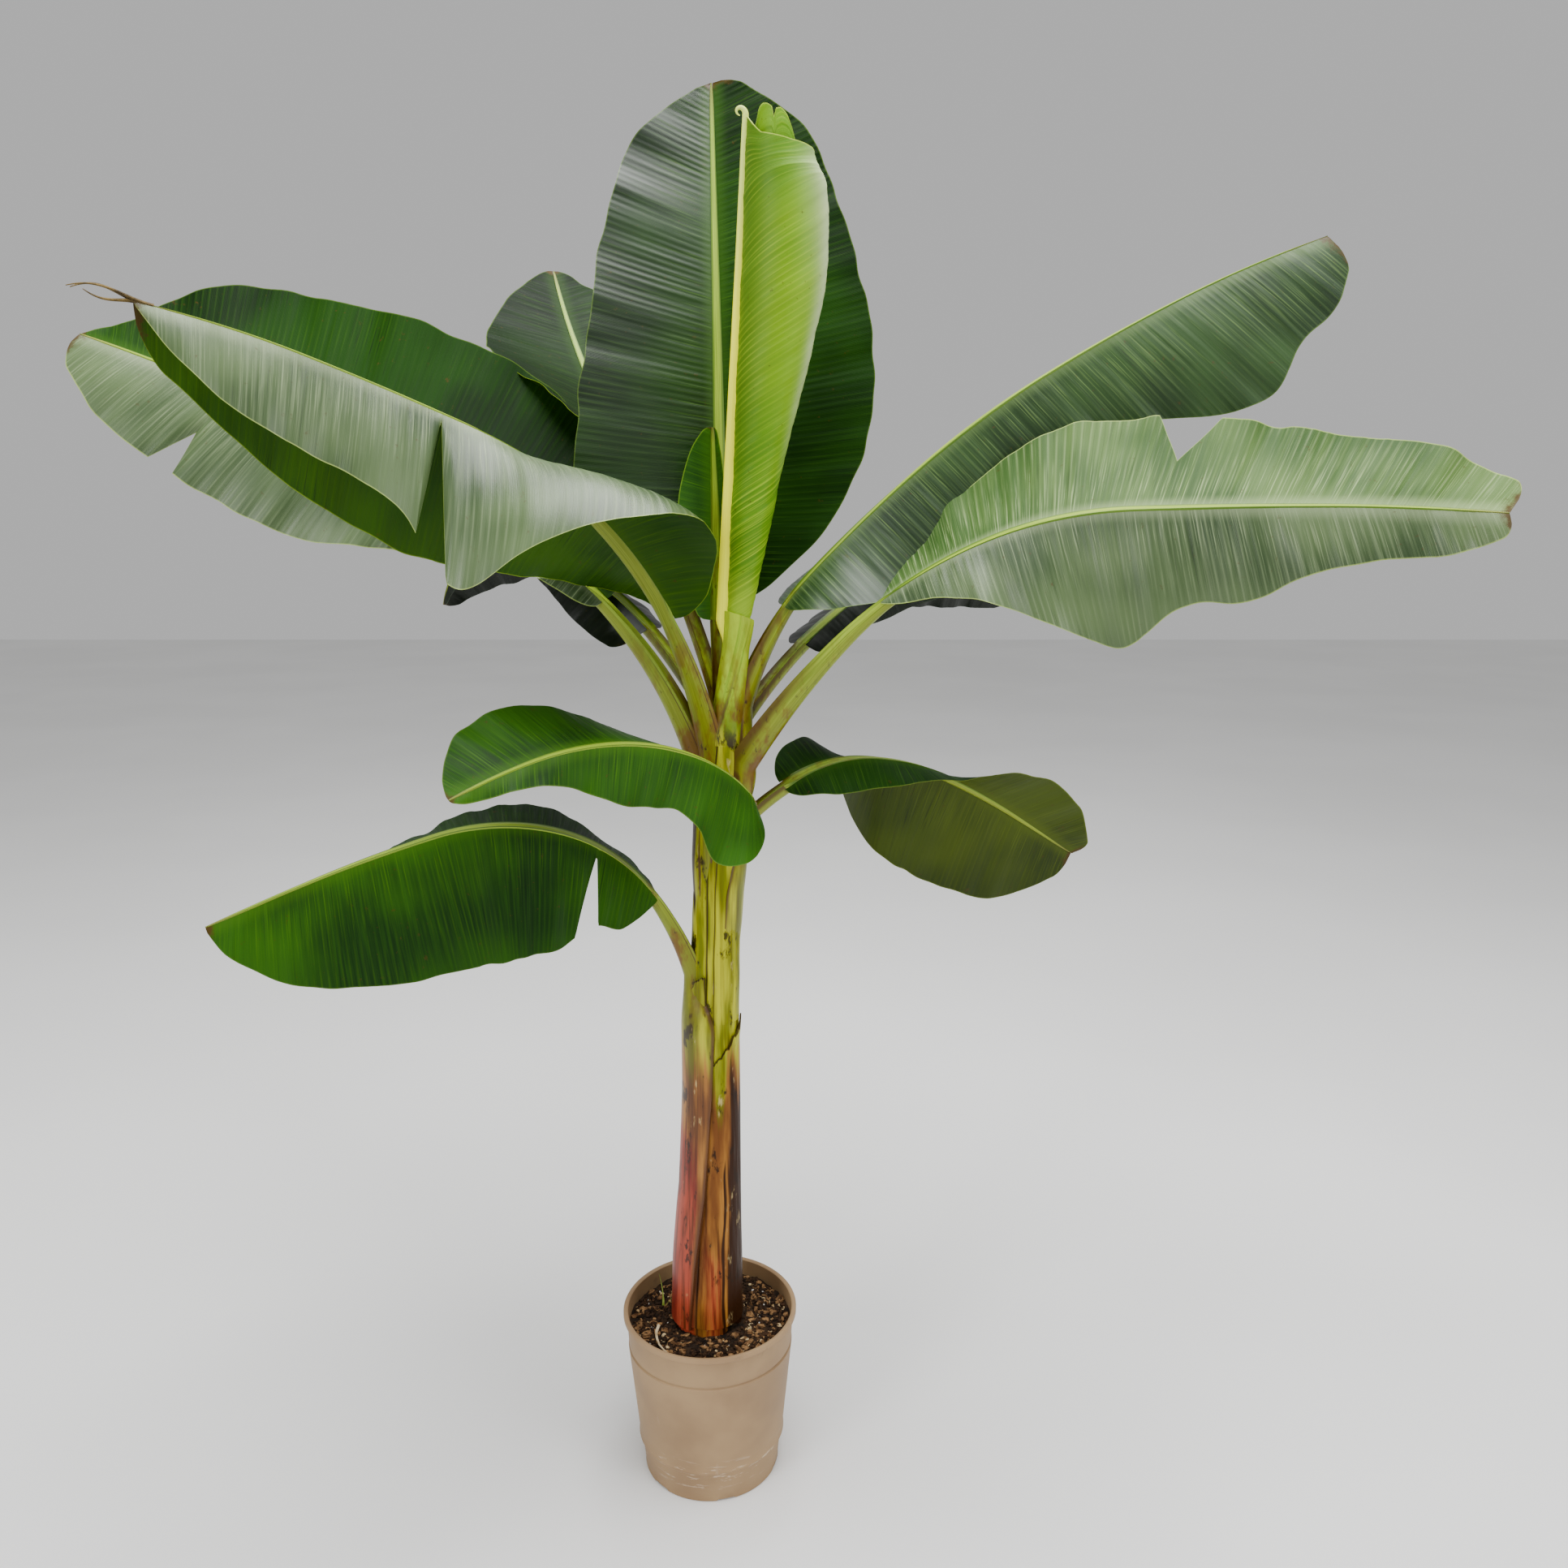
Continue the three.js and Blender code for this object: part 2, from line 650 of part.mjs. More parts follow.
function potSolid() {
  const inside = (z) => potRadius(z) - pot.wall;
  const lipLow = pot.height - pot.lipHeight;
  const underStep = pot.stepHeight - pot.rounding;
  const profile = [
    [0, 0], [pot.footRadius, 0],
    [potRadius(underStep), underStep], [pot.stepRadius + pot.bead, pot.stepHeight],
    [pot.grooveRadius, pot.grooveHeight], [pot.grooveRadius + pot.bead, pot.grooveHeight + pot.bead],
    [potRadius(lipLow), lipLow], [pot.rimRadius, lipLow + pot.lipSlope], [pot.rimRadius, pot.height],
    [inside(pot.height), pot.height], [inside(pot.grooveHeight), pot.grooveHeight],
    [inside(pot.floor), pot.floor], [0, pot.floor],
  ].map(([r, z]) => new THREE.Vector2(r, z));
  const lathe = new THREE.LatheGeometry(profile, pot.sides).rotateX(Math.PI / 2);
  let body = toManifold(lathe);
  for (let i = 0; i < pot.notches; i += 1) {
    const cutter = new THREE.BoxGeometry(pot.notchReach * 2, pot.notchWidth, pot.notchHeight * 2);
    cutter.translate(pot.footRadius, 0, 0).rotateZ(rad(pot.firstNotch + (360 * i) / pot.notches));
    body = body.subtract(toManifold(cutter));
  }
  return body;
}

function soilSolid() {
  const inside = (z) => potRadius(z) - pot.wall - soil.slack - CLEARANCE;
  const low = pot.floor + CLEARANCE;
  const profile = [
    [0, low], [inside(low), low], [inside(pot.grooveHeight), pot.grooveHeight],
    [inside(soil.top), soil.top], [0, soil.top + soil.crown],
  ].map(([r, z]) => new THREE.Vector2(r, z));
  return toManifold(new THREE.LatheGeometry(profile, pot.sides).rotateX(Math.PI / 2));
}

// ------------------------------------------------------------------ the group

const plant = new THREE.Group();
function add(name, manifold, color, roughness = 0.6) {
  const material = new THREE.MeshStandardMaterial({ color, roughness, metalness: 0 });
  const mesh = new THREE.Mesh(toGeometry(manifold), material);
  mesh.name = name;
  plant.add(mesh);
}

// Keeps the biggest body of a solid that a cut has left in pieces.
function biggest(manifold) {
  const bodies = manifold.decompose();
  return bodies.reduce((best, body) => (body.volume() > best.volume() ? body : best));
}

// Pieces are placed one after another. Each is trimmed where it would run into
// one already there, with the clearance between them.
const placed = [];
function trimmed(manifold) {
  let body = manifold;
  for (const other of placed) body = body.subtract(other);
  return biggest(body);
}

add('pot', potSolid(), 0xaf967d, 0.7);
placed.push(stemSolid(CLEARANCE));
add('soil', trimmed(soilSolid()), 0x3a2c20, 0.95);
add('stem', stemSolid(0), 0x9a7a45, 0.6);
for (const sheath of sheaths) {
  add(sheath.name, sheathSolid(sheath, 0), sheath.color, 0.6);
  placed.push(sheathSolid(sheath, CLEARANCE));
}
placed.push(heartSolid(CLEARANCE));
add('heart', heartSolid(0), 0x9dc23a, 0.5);
add('leaf_rolled', spearSolid(), 0x9cc832, 0.45);

for (const leaf of leaves) {
  add(`${leaf.name}_stalk`, trimmed(stalkSolid(leaf, 0)), 0x9aa845);
  placed.push(stalkSolid(leaf, CLEARANCE));
}
for (const leaf of leaves) {
  const beyond = leaf.bend + CLEARANCE / leaf.length;
  const spans = leaf.bend
    ? [['_inner_blade', 0, leaf.bend], ['_outer_blade', beyond, 1]]
    : [['_blade', 0, 1]];
  for (const [ending, from, to] of spans) {
    add(leaf.name + ending, trimmed(bladeSolid(leaf, from, to, 0)), 0x2f5a22, 0.45);
  }
  placed.push(bladeSolid(leaf, 0, 1, CLEARANCE));
}

export default plant;
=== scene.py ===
"""The looks of a young banana plant in a nursery pot.

The leaves grow from the same measures as the CAD leaves, with the ribs, side
veins, waves and tears that the plain solids leave out. Lengths in the tables
are in millimetres and new_mesh() turns them into metres. The frame is the CAD
frame: +Z up, -Y the front, and the origin under the middle of the pot.
"""
import math

import bpy
import numpy as np
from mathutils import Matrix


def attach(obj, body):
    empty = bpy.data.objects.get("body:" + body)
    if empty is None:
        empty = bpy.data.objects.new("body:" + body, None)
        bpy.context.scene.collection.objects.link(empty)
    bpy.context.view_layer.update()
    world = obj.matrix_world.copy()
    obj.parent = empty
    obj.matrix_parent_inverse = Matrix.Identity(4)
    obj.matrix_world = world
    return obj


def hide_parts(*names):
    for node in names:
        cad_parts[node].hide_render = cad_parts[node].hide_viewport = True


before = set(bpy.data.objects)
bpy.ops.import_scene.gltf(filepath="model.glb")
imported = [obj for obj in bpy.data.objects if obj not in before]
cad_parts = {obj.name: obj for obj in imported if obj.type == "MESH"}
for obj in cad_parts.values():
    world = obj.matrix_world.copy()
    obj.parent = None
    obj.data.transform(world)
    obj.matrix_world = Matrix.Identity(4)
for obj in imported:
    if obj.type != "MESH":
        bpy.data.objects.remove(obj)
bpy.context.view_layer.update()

MM = 0.001
TURN = 2 * math.pi

# ---------------------------------------------------------------- the camera

CAMERA = dict(place=(0.116, -1.77, 1.504), pitch=12.7, lens=29.24, sensor=36.0)


def add_camera():
    data = bpy.data.cameras.new("camera")
    data.lens = CAMERA["lens"]
    data.sensor_width = CAMERA["sensor"]
    camera = bpy.data.objects.new("camera", data)
    camera.location = CAMERA["place"]
    camera.rotation_euler = (math.radians(90 - CAMERA["pitch"]), 0, 0)
    bpy.context.scene.collection.objects.link(camera)
    bpy.context.scene.camera = camera


add_camera()

# ------------------------------------------------------------- the plant, mm

POT = dict(
    height=270, rim_radius=135, foot_radius=106, groove_height=215, groove_radius=127.5,
    step_height=55, step_radius=112, lip_height=9, lip_out=5, wall=2.5,
    notch_height=3.5, notch_width=26, notches=6, first_notch=-75, notch_from=95,
)
# The soil: heights of its surface, of a ring half way down and of its underside,
# how far its middle is heaped up, and the gap that it leaves to the pot.
SOIL = dict(top=246, crown=6, waist=120, floor=8, gap=0.6)

# The false stem: heights, and its middle and radius at them.
STEM = dict(
    z=[236, 280, 360, 480, 640, 850, 1000, 1100, 1165],
    x=[-3, -2, 1, 7, 11, 14, 20, 28, 33],
    radius=[53, 51, 48, 41, 37, 35, 33, 32, 30],
)
# The heart, where the stem ends, and how far its top leans.
HEART = dict(low=1165, high=1335, low_radius=26, high_radius=17, x=33, lean_x=19, lean_y=-6)
# The rolled leaf stands on the heart: its left edge, its radii from foot to top,
# the heading of its seam, how much of the radius each turn loses, and how much
# higher or lower its rim stands along the turns.
ROLL = dict(
    high=1965, edge_low=35, edge_high=68, y=-6, lean_y=-40,
    radii=[18, 26, 34, 43, 53, 60, 57, 46], seam=196, wind=0.26,
    rim_turns=[
        0, 0.1, 0.25, 0.44, 0.7, 0.95, 1.01, 1.04, 1.075, 1.11,
        1.137, 1.152, 1.167, 1.2, 1.235, 1.265, 1.3, 1.4, 1.6, 2.2,
    ],
    rim_rise=[-2, -26, -36, -42, -28, -20, -6, 5, 9, 8, 4, -9, 2, 2, -5, -18, -36, -40, -38, -36],
)
# What all leaves share, for the ones that say nothing else.
BLADE = dict(rib_width=20, rib_depth=16, shoulder=0.35, lean=(-5, 28), vein=8.6)

# heading, climb   of the rib, in degrees, at equal steps from foot to tip
# foot             where the rib leaves the stem: height, distance out and,
#                  if it isn't the first heading, the direction
# left, right      the two halves, seen looking from foot to tip: width from
#                  the middle of the rib, fold up (+) or down (-), and how much
#                  more the margin bends than the rib side
# lean             forward lean of the side veins at the base and the tip
# tears            side, place along the blade, share of the width, half opening
LEAVES = [
    dict(
        name="leaf_left", stalk=190, length=745, stalk_width=40, foot=dict(z=1165, out=10),
        heading=[203, 209], climb=[76, 62, 43, 23, 20, 10], lean=[-14, -6],
        left=dict(
            widths=[40, 105, 158, 186, 190, 200, 222, 150, 124, 114, 100, 70, 15],
            fold=[50, 68, 36, -50, -62, -64, -60], curl=[0, -75, -100, -30, -20, -20, -20],
        ),
        right=dict(
            widths=[35, 115, 165, 185, 172, 128, 50],
            fold=[10, -30, -50, -65, -69, -70, -70], curl=[-10, -10],
        ),
        tears=[dict(side="left", at=0.54, depth=0.95, open=0.025)],
    ),
    dict(
        name="leaf_far_left", stalk=280, length=810, stalk_width=44, foot=dict(z=1130, out=16),
        heading=[172, 178], climb=[70, 49, 31, 23, 23, 18],
        left=dict(
            widths=[32, 58, 115, 155, 145, 112, 35],
            fold=[-40, -48, -54, -60, -57, -54, -50], curl=[-20, -20],
        ),
        right=dict(
            widths=[40, 130, 195, 222, 230, 225, 215, 205, 192, 172, 128, 60, 10],
            fold=[40, 47, 52, 55, 50, 45, 30], curl=[10, 10],
        ),
        tears=[dict(side="left", at=0.72, depth=0.46, open=0.024)],
    ),
    dict(
        name="leaf_back", stalk=125, length=722, stalk_width=24, foot=dict(z=1235, out=26),
        heading=[96, 96], climb=[84, 82, 80, 78, 77, 77],
        left=dict(widths=[40, 190, 195, 175, 150, 105, 6], fold=[0, 4, 8, 8, 5, 2, 0], curl=[5, 5]),
        right=dict(widths=[40, 165, 216, 210, 178, 132, 26], fold=[10, 10, 10, 8, 5, 2, 0], curl=[5, 5]),
    ),
    dict(
        name="leaf_back_left", stalk=170, length=680, stalk_width=22, foot=dict(z=1235, out=14),
        heading=[132, 128, 124, 120, 116, 112], climb=[64, 54, 46, 42, 44, 50],
        left=dict(widths=[50, 90, 130, 165, 148, 90, 15], fold=[60, 50, 40, 20, 5, 0, 0], curl=[0, 0]),
        right=dict(widths=[50, 120, 150, 150, 130, 90, 15], fold=[20, 15, 10, 10, 5, 0, 0], curl=[0, 0]),
    ),
    dict(
        name="leaf_hanging_left", stalk=160, length=460, stalk_width=24, foot=dict(z=1200, out=18),
        heading=[150, 160], climb=[55, 46, 34, 25, -30, -80],
        left=dict(
            widths=[70, 75, 62, 45, 28, 22, 10],
            fold=[-30, -50, -70, -70, -70, -70, -70], curl=[-10, -10],
        ),
        right=dict(
            widths=[40, 90, 120, 110, 90, 60, 15],
            fold=[0, -10, -20, -30, -40, -40, -40], curl=[-20, -20],
        ),
    ),
    dict(
        name="leaf_hanging_right", stalk=160, length=480, stalk_width=24, foot=dict(z=1190, out=18),
        heading=[38, 38], climb=[48, 38, 28, 12, -15, -40],
        left=dict(
            widths=[40, 90, 120, 110, 90, 60, 15],
            fold=[0, -10, -20, -30, -40, -40, -40], curl=[-20, -20],
        ),
        right=dict(
            widths=[40, 46, 58, 58, 49, 30, 10],
            fold=[-30, -50, -70, -70, -70, -70, -70], curl=[-10, -10],
        ),
    ),
    dict(
        name="leaf_young", stalk=75, length=260, stalk_width=16, foot=dict(z=1262, out=17, toward=125),
        heading=[110, 110], climb=[90, 90, 88, 86, 86, 86],
        left=dict(widths=[25, 42, 52, 52, 46, 32, 8], fold=[-5, -5, -5, -5, -5, -5, -5], curl=[0, 0]),
        right=dict(widths=[13, 15, 18, 18, 16, 12, 6], fold=[-5, -5, -5, -5, -5, -5, -5], curl=[0, 0]),
    ),
    dict(
        name="leaf_upper_right", stalk=150, length=882, stalk_width=36, foot=dict(z=1225, out=12),
        heading=[6, 0], climb=[69, 47, 40, 31, 26, 18],
        left=dict(
            widths=[60, 110, 140, 140, 130, 110, 35],
            fold=[20, -20, -50, -55, -60, -60, -60], curl=[-20, -20],
        ),
        right=dict(
            widths=[35, 100, 126, 130, 130, 126, 120, 120, 162, 174, 130, 98, 40],
            fold=[-20, -60, -75, -75, -70, -65, -60], curl=[-15, -15],
        ),
    ),
    dict(
        name="leaf_lower_right", stalk=300, length=765, stalk_width=46, foot=dict(z=1150, out=16),
        heading=[-14, -20], climb=[54, 44, 26, 2, 0, -5],
        left=dict(
            widths=[40, 115, 150, 150, 122, 98, 42],
            fold=[20, 35, 45, 45, 45, 45, 45], curl=[10, 10],
        ),
        right=dict(
            widths=[20, 55, 100, 150, 178, 128, 118, 85, 66, 55, 24],
            fold=[-30, -50, -70, -75, -70, -65, -60], curl=[-20, -20],
        ),
        tears=[dict(side="left", at=0.5, depth=0.48, open=0.045)],
    ),
    dict(
        name="leaf_low_front", stalk=60, length=490, stalk_width=22, foot=dict(z=1035, out=30, toward=335),
        heading=[320, 235, 215, 210, 205, 205], climb=[56, 42, 22, 2, -17, -25],
        left=dict(
            widths=[22, 116, 130, 102, 82, 84, 84, 70, 50, 36, 28, 20, 8],
            fold=[-60, -70, -70, -65, -60, -50, -40], curl=[-10, -10],
        ),
        right=dict(
            widths=[25, 80, 90, 95, 105, 84, 12],
            fold=[-20, -20, -10, 10, 30, 40, 40], curl=[0, 0],
        ),
    ),
    dict(
        name="leaf_low_right", stalk=95, length=520, stalk_width=22, foot=dict(z=1040, out=18),
        heading=[15, 15], climb=[44, 26, -9, -28, -34, -35],
        left=dict(
            widths=[30, 110, 160, 170, 162, 128, 36],
            fold=[60, 10, -60, -70, -70, -65, -60], curl=[-10, -10],
        ),
        right=dict(widths=[25, 60, 60, 60, 90, 75, 25], fold=[-60, -50, -30, 10, 50, 55, 55], curl=[0, 0]),
    ),
    dict(
        name="leaf_low_left", stalk=130, length=655, stalk_width=32, foot=dict(z=830, out=22),
        heading=[196, 200], climb=[70, 51, 16, -14, -19, -22], lean=[-24, 28],
        left=dict(
            widths=[22, 88, 112, 160, 182, 192, 192, 186, 172, 150, 120, 72, 15],
            fold=[-50, -60, -75, -75, -75, -72, -70], curl=[-10, -10],
        ),
        right=dict(widths=[30, 80, 90, 90, 80, 60, 10], fold=[0, 0, 5, -5, -20, -40, -40], curl=[0, 0]),
        tears=[dict(side="left", at=0.18, depth=0.86, open=0.03)],
    ),
]

# What only the looks need.
# waves            how high the waves of the blade and of its margin are
# veins, pleats    how far the side veins and the pleats along them stand up
# blunt            where along the blade the tip starts to round off
# kinds            the greens of the left half, the right half and the underside
# strands          dried shreds: how far before the tip they start, how long they
#                  are, and how far they bend aside and up
# root...          the sheath of the foot: which way it lies, half its width at
#                  its top and bottom, how long it is and how far it stands out
LOOKS = {
    "leaf_left": dict(
        waves=(3.0, 2.0), pleats=1.2, kinds=("pale", "pale", "under"),
        strands=((20, 84, 10, 12), (10, 70, -8, 16), (4, 52, 14, -10)),
    ),
    "leaf_far_left": dict(waves=(3.0, 2.5), pleats=0.6, kinds=("pale", "satin", "under")),
    "leaf_back": dict(
        waves=(2.5, 1.2), veins=0.26, pleats=0.45, blunt=0.97, kinds=("dark", "satin", "under"),
    ),
    "leaf_back_left": dict(pleats=0.8, kinds=("deep", "deep", "under")),
    # The two hanging leaves take the near-black painted shade.
    "leaf_hanging_left": dict(kinds=("shade", "shade", "shade")),
    "leaf_hanging_right": dict(kinds=("shade", "shade", "shade")),
    "leaf_young": dict(waves=(1.0, 0.5), pleats=0.4, kinds=("young", "young", "young")),
    "leaf_upper_right": dict(
        waves=(4.0, 3.0), veins=0.28, pleats=1.3, blunt=0.975, kinds=("grey", "grey", "under"),
    ),
    "leaf_lower_right": dict(waves=(6.0, 2.2), pleats=1.3, blunt=0.975, kinds=("matt", "pale", "under")),
    "leaf_low_front": dict(waves=(4.0, 3.0), pleats=0.5, kinds=("fresh", "fresh", "under")),
    "leaf_low_right": dict(pleats=0.6, blunt=0.97, kinds=("satin", "satin", "olive")),
    "leaf_low_left": dict(
        pleats=0.6, kinds=("fresh", "satin", "under"),
        root=208, root_width=(44, 34), root_length=572, root_lift=8,
    ),
}

# ------------------------------------------------------------ numbers, curves


def along(values, u):
    """Reads evenly spread values at u, from 0 to 1."""
    return np.interp(u, np.linspace(0, 1, len(values)), values)


def smooth_along(values, u):
    """The same, on a smooth curve through the values."""
    values = np.asarray(values, float)
    last = len(values) - 1
    place = np.clip(u, 0, 1) * last
    i = np.minimum(np.floor(place).astype(int), last - 1)
    t = place - i
    wide = np.concatenate([[2 * values[0] - values[1]], values, [2 * values[-1] - values[-2]]])
    rise = wide[i + 2] - wide[i + 1]
    slope_in = (wide[i + 2] - wide[i]) / 2
    slope_out = (wide[i + 3] - wide[i + 1]) / 2
    bend = 3 * rise - 2 * slope_in - slope_out
    return wide[i + 1] + t * (slope_in + t * (bend + t * (slope_in + slope_out - 2 * rise)))


def ease(low, high, x):
    """0 below low, 1 above high, and smooth between them."""
    t = np.clip((np.asarray(x, float) - low) / (high - low), 0, 1)
    return t * t * (3 - 2 * t)


def triples(a, b, c):
    """Three numbers for each point, spread over the same rows and columns."""
    return np.stack(np.broadcast_arrays(a, b, c), -1)


def mix(a, b, t):
    return a + (b - a) * t


def ripple(seed, x, length):
    """A smooth random curve of x with waves of about that length, from about -1 to 1."""
    rng = np.random.default_rng(seed)
    total = np.zeros(np.shape(x))
    for share in (1.7, 1.0, 0.62):
        shift, stretch = rng.uniform(0, TURN), rng.uniform(0.85, 1.15)
        total = total + share**0.5 * np.sin(TURN * np.asarray(x) / (length * share * stretch) + shift)
    return total / 2.6


def patches(seed, x, y, length):
    """The same, over a surface."""
    rng = np.random.default_rng(seed)
    total = np.zeros(np.broadcast(x, y).shape)
    for k in range(7):
        angle, shift = rng.uniform(0, TURN), rng.uniform(0, TURN)
        size = length * rng.uniform(0.55, 1.5)
        total = total + np.sin(TURN * (x * math.cos(angle) + y * math.sin(angle)) / size + shift)
    return total / 3.5


# ------------------------------------------------------------- making meshes


def ring_faces(rows, columns):
    """Four-cornered faces over rows of points, each row closed to a ring."""
    row, column = np.meshgrid(np.arange(rows - 1), np.arange(columns), indexing="ij")
    a = row * columns + column
    b = row * columns + (column + 1) % columns
    return np.stack([a, b, b + columns, a + columns], -1).reshape(-1, 4)


def tube_faces(rows, columns):
    """The same, with one face across each end."""
    last = (rows - 1) * columns
    ends = [list(range(columns))[::-1], list(range(last, last + columns))]
    return ring_faces(rows, columns).tolist() + ends


def sheet_faces(rows, columns):
    """Faces of a thin sheet, closed all round. Each row of points goes along the
    sheet's face and then back along its other side."""
    last = (rows - 1) * 2 * columns
    ends = []
    for k in range(columns - 1):
        j = 2 * columns - 1 - k
        ends.append([k, j, j - 1, k + 1])
        ends.append([last + k, last + k + 1, last + j - 1, last + j])
    return np.concatenate([ring_faces(rows, 2 * columns), ends])


def there_and_back(face, back):
    """Rows along a sheet's face and then, in the other order, along its back."""
    return np.concatenate([face, back[:, ::-1]], 1)


def around(a, b, c):
    """Three numbers for each point, the same on a sheet's face and its back."""
    numbers = triples(a, b, c)
    return there_and_back(numbers, numbers)


def new_mesh(name, points, faces, materials, kinds=None, values=None, sharp=50):
    """A mesh from points in mm. kinds gives each face's material, and values the
    numbers that the materials read at each point, three to a name."""
    mesh = bpy.data.meshes.new(name)
    points = np.asarray(points, float).reshape(-1, 3) * MM
    mesh.from_pydata(points, [], faces.tolist() if isinstance(faces, np.ndarray) else faces)
    for material in materials:
        mesh.materials.append(material)
    if kinds is not None:
        mesh.polygons.foreach_set("material_index", np.asarray(kinds, np.int32))
    for key, numbers in (values or {}).items():
        layer = mesh.attributes.new(key, "FLOAT_VECTOR", "POINT")
        layer.data.foreach_set("vector", np.asarray(numbers, np.float32).ravel())
    mesh.shade_smooth()
    mesh.set_sharp_from_angle(angle=math.radians(sharp))
    mesh.validate()
    return mesh


def add_piece(name, mesh, slot, *nodes):
    piece = bpy.data.objects.new(name, mesh)
    bpy.context.scene.collection.objects.link(piece)
    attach(piece, "root")
    if nodes:
        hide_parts(*nodes)


def add_bits(name, bits, material, slot="soil", sharp=50):
    """Adds a piece that no CAD node stands for, from points and faces."""
    points, faces = bits
    add_piece(name, new_mesh(name, points, faces, [material], sharp=sharp), slot)


def joined(parts):
    """Joins (points, faces) lists into one."""
    points, faces, first = [], [], 0
    for part_points, part_faces in parts:
        points.append(part_points)
        faces.append(part_faces + first)
        first += len(part_points)
    return np.concatenate(points), np.concatenate(faces)


def strand(line, width, thick):
    """A thin flat stem along a line of points, tapering to its end. Its ends are
    closed with four-cornered faces, so that strands and lumps can be joined."""
    sides = 8
    forward = np.gradient(line, axis=0)
    forward /= np.linalg.norm(forward, axis=1, keepdims=True)
    side = np.cross(forward, [0.05, 0.02, 1.0])
    side /= np.linalg.norm(side, axis=1, keepdims=True)
    taper = np.linspace(1, 0.12, len(line))[:, None, None] ** 0.7
    angle = (np.arange(sides) / sides * TURN)[None, :, None]
    across = side[:, None] * np.cos(angle) * width / 2
    up = np.cross(side, forward)[:, None] * np.sin(angle) * thick / 2
    ring = line[:, None] + taper * (across + up)
    last = (len(line) - 1) * sides
    faces = ring_faces(len(line), sides).tolist()
    for k in range(1, sides // 2):
        a, b, c, d = k - 1, k, sides - 1 - k, (sides - k) % sides
        faces.append([d, c, b, a])
        faces.append([last + a, last + b, last + c, last + d])
    return ring.reshape(-1, 3), np.array(faces)


# ------------------------------------------------------------------ materials


class Shader:
    """A short way to write a material's nodes."""

    def __init__(self, name, specular, roughness=0.5):
        self.material = bpy.data.materials.new(name)
        self.material.use_nodes = True
        self.tree = self.material.node_tree
        self.surface = next(n for n in self.tree.nodes if n.type == "BSDF_PRINCIPLED")
        self.surface.inputs["Roughness"].default_value = roughness
        self.surface.inputs["Specular IOR Level"].default_value = specular

    def node(self, kind, *inputs, **settings):
        """Adds a node. An input is a number, a colour or another node's socket."""
        made = self.tree.nodes.new(kind)
        for key, value in settings.items():
            setattr(made, key, value)
        for socket, value in zip(made.inputs, inputs):
            self.feed(value, socket)
        return made

    def feed(self, value, socket):
        """Links another node's socket to this one, or sets its value."""
        if isinstance(value, bpy.types.NodeSocket):
            self.tree.links.new(value, socket)
        else:
            socket.default_value = value

    def math(self, operation, *inputs):
        return self.node("ShaderNodeMath", *inputs, operation=operation).outputs[0]

    def times(self, a, b):
        return self.math("MULTIPLY", a, b)

    def place(self, name="place"):
        """The three numbers that the mesh holds under that name."""
        numbers = self.node("ShaderNodeAttribute", attribute_name=name).outputs["Vector"]
        return self.node("ShaderNodeSeparateXYZ", numbers).outputs

    def where(self):
        return self.node("ShaderNodeTexCoord").outputs["Object"]

    def scaled(self, vector, level, upright):
        """A place, scaled by one number across and by another up."""
        size = (level, level, upright)
        return self.node("ShaderNodeMapping", vector, (0, 0, 0), (0, 0, 0), size).outputs[0]

    def noise(self, vector, scale, detail, rough=0.55):
        made = self.node("ShaderNodeTexNoise", noise_dimensions="3D")
        inputs = {"Vector": vector, "Scale": scale, "Detail": detail, "Roughness": rough}
        for socket, value in inputs.items():
            self.feed(value, made.inputs[socket])
        return made.outputs["Fac"]

    def streaks(self, a, b, fine_a, fine_b, detail, rough=0.55):
        """Noise over two numbers of a point, each with its own fineness."""
        place = self.node("ShaderNodeCombineXYZ", self.times(a, fine_a), self.times(b, fine_b), 0.0)
        return self.noise(place.outputs[0], 1.0, detail, rough)

    def spread(self, value, low, high, to_low=0.0, to_high=1.0):
        """Maps low..high smoothly to to_low..to_high."""
        numbers = (value, low, high, to_low, to_high)
        return self.node("ShaderNodeMapRange", *numbers, interpolation_type="SMOOTHSTEP").outputs[0]

    def waves(self, value, length, power=1.0):
        """Lines across the surface, 1 at each multiple of length and 0 between."""
        turn = self.times(value, TURN / length)
        wave = self.math("MULTIPLY_ADD", self.math("COSINE", turn), 0.5, 0.5)
        return self.math("POWER", wave, power)

    def blend(self, factor, a, b):
        """Colour a where the factor is 0 and colour b where it is 1."""
        made = self.node("ShaderNodeMix", data_type="RGBA")
        self.feed(factor, made.inputs[0])
        self.feed(a, made.inputs[6])
        self.feed(b, made.inputs[7])
        return made.outputs[2]

    def color(self, value):
        self.feed(value, self.surface.inputs["Base Color"])

    def roughness(self, value):
        self.feed(value, self.surface.inputs["Roughness"])

    def bump(self, height, strength, distance):
        made = self.node("ShaderNodeBump")
        made.inputs["Strength"].default_value = strength
        made.inputs["Distance"].default_value = distance
        self.feed(height, made.inputs["Height"])
        self.feed(made.outputs[0], self.surface.inputs["Normal"])


def rgb(red, green, blue):
    """A colour given as it looks on a screen, 0 to 255, as the linear one that
    shaders use."""
    channels = []
    for value in (red, green, blue):
        share = value / 255
        channels.append(share / 12.92 if share <= 0.04045 else ((share + 0.055) / 1.055) ** 2.4)
    return (*channels, 1.0)


def darker(color, share):
    """That share of a colour's brightness."""
    return (*(share * value for value in color[:3]), 1.0)


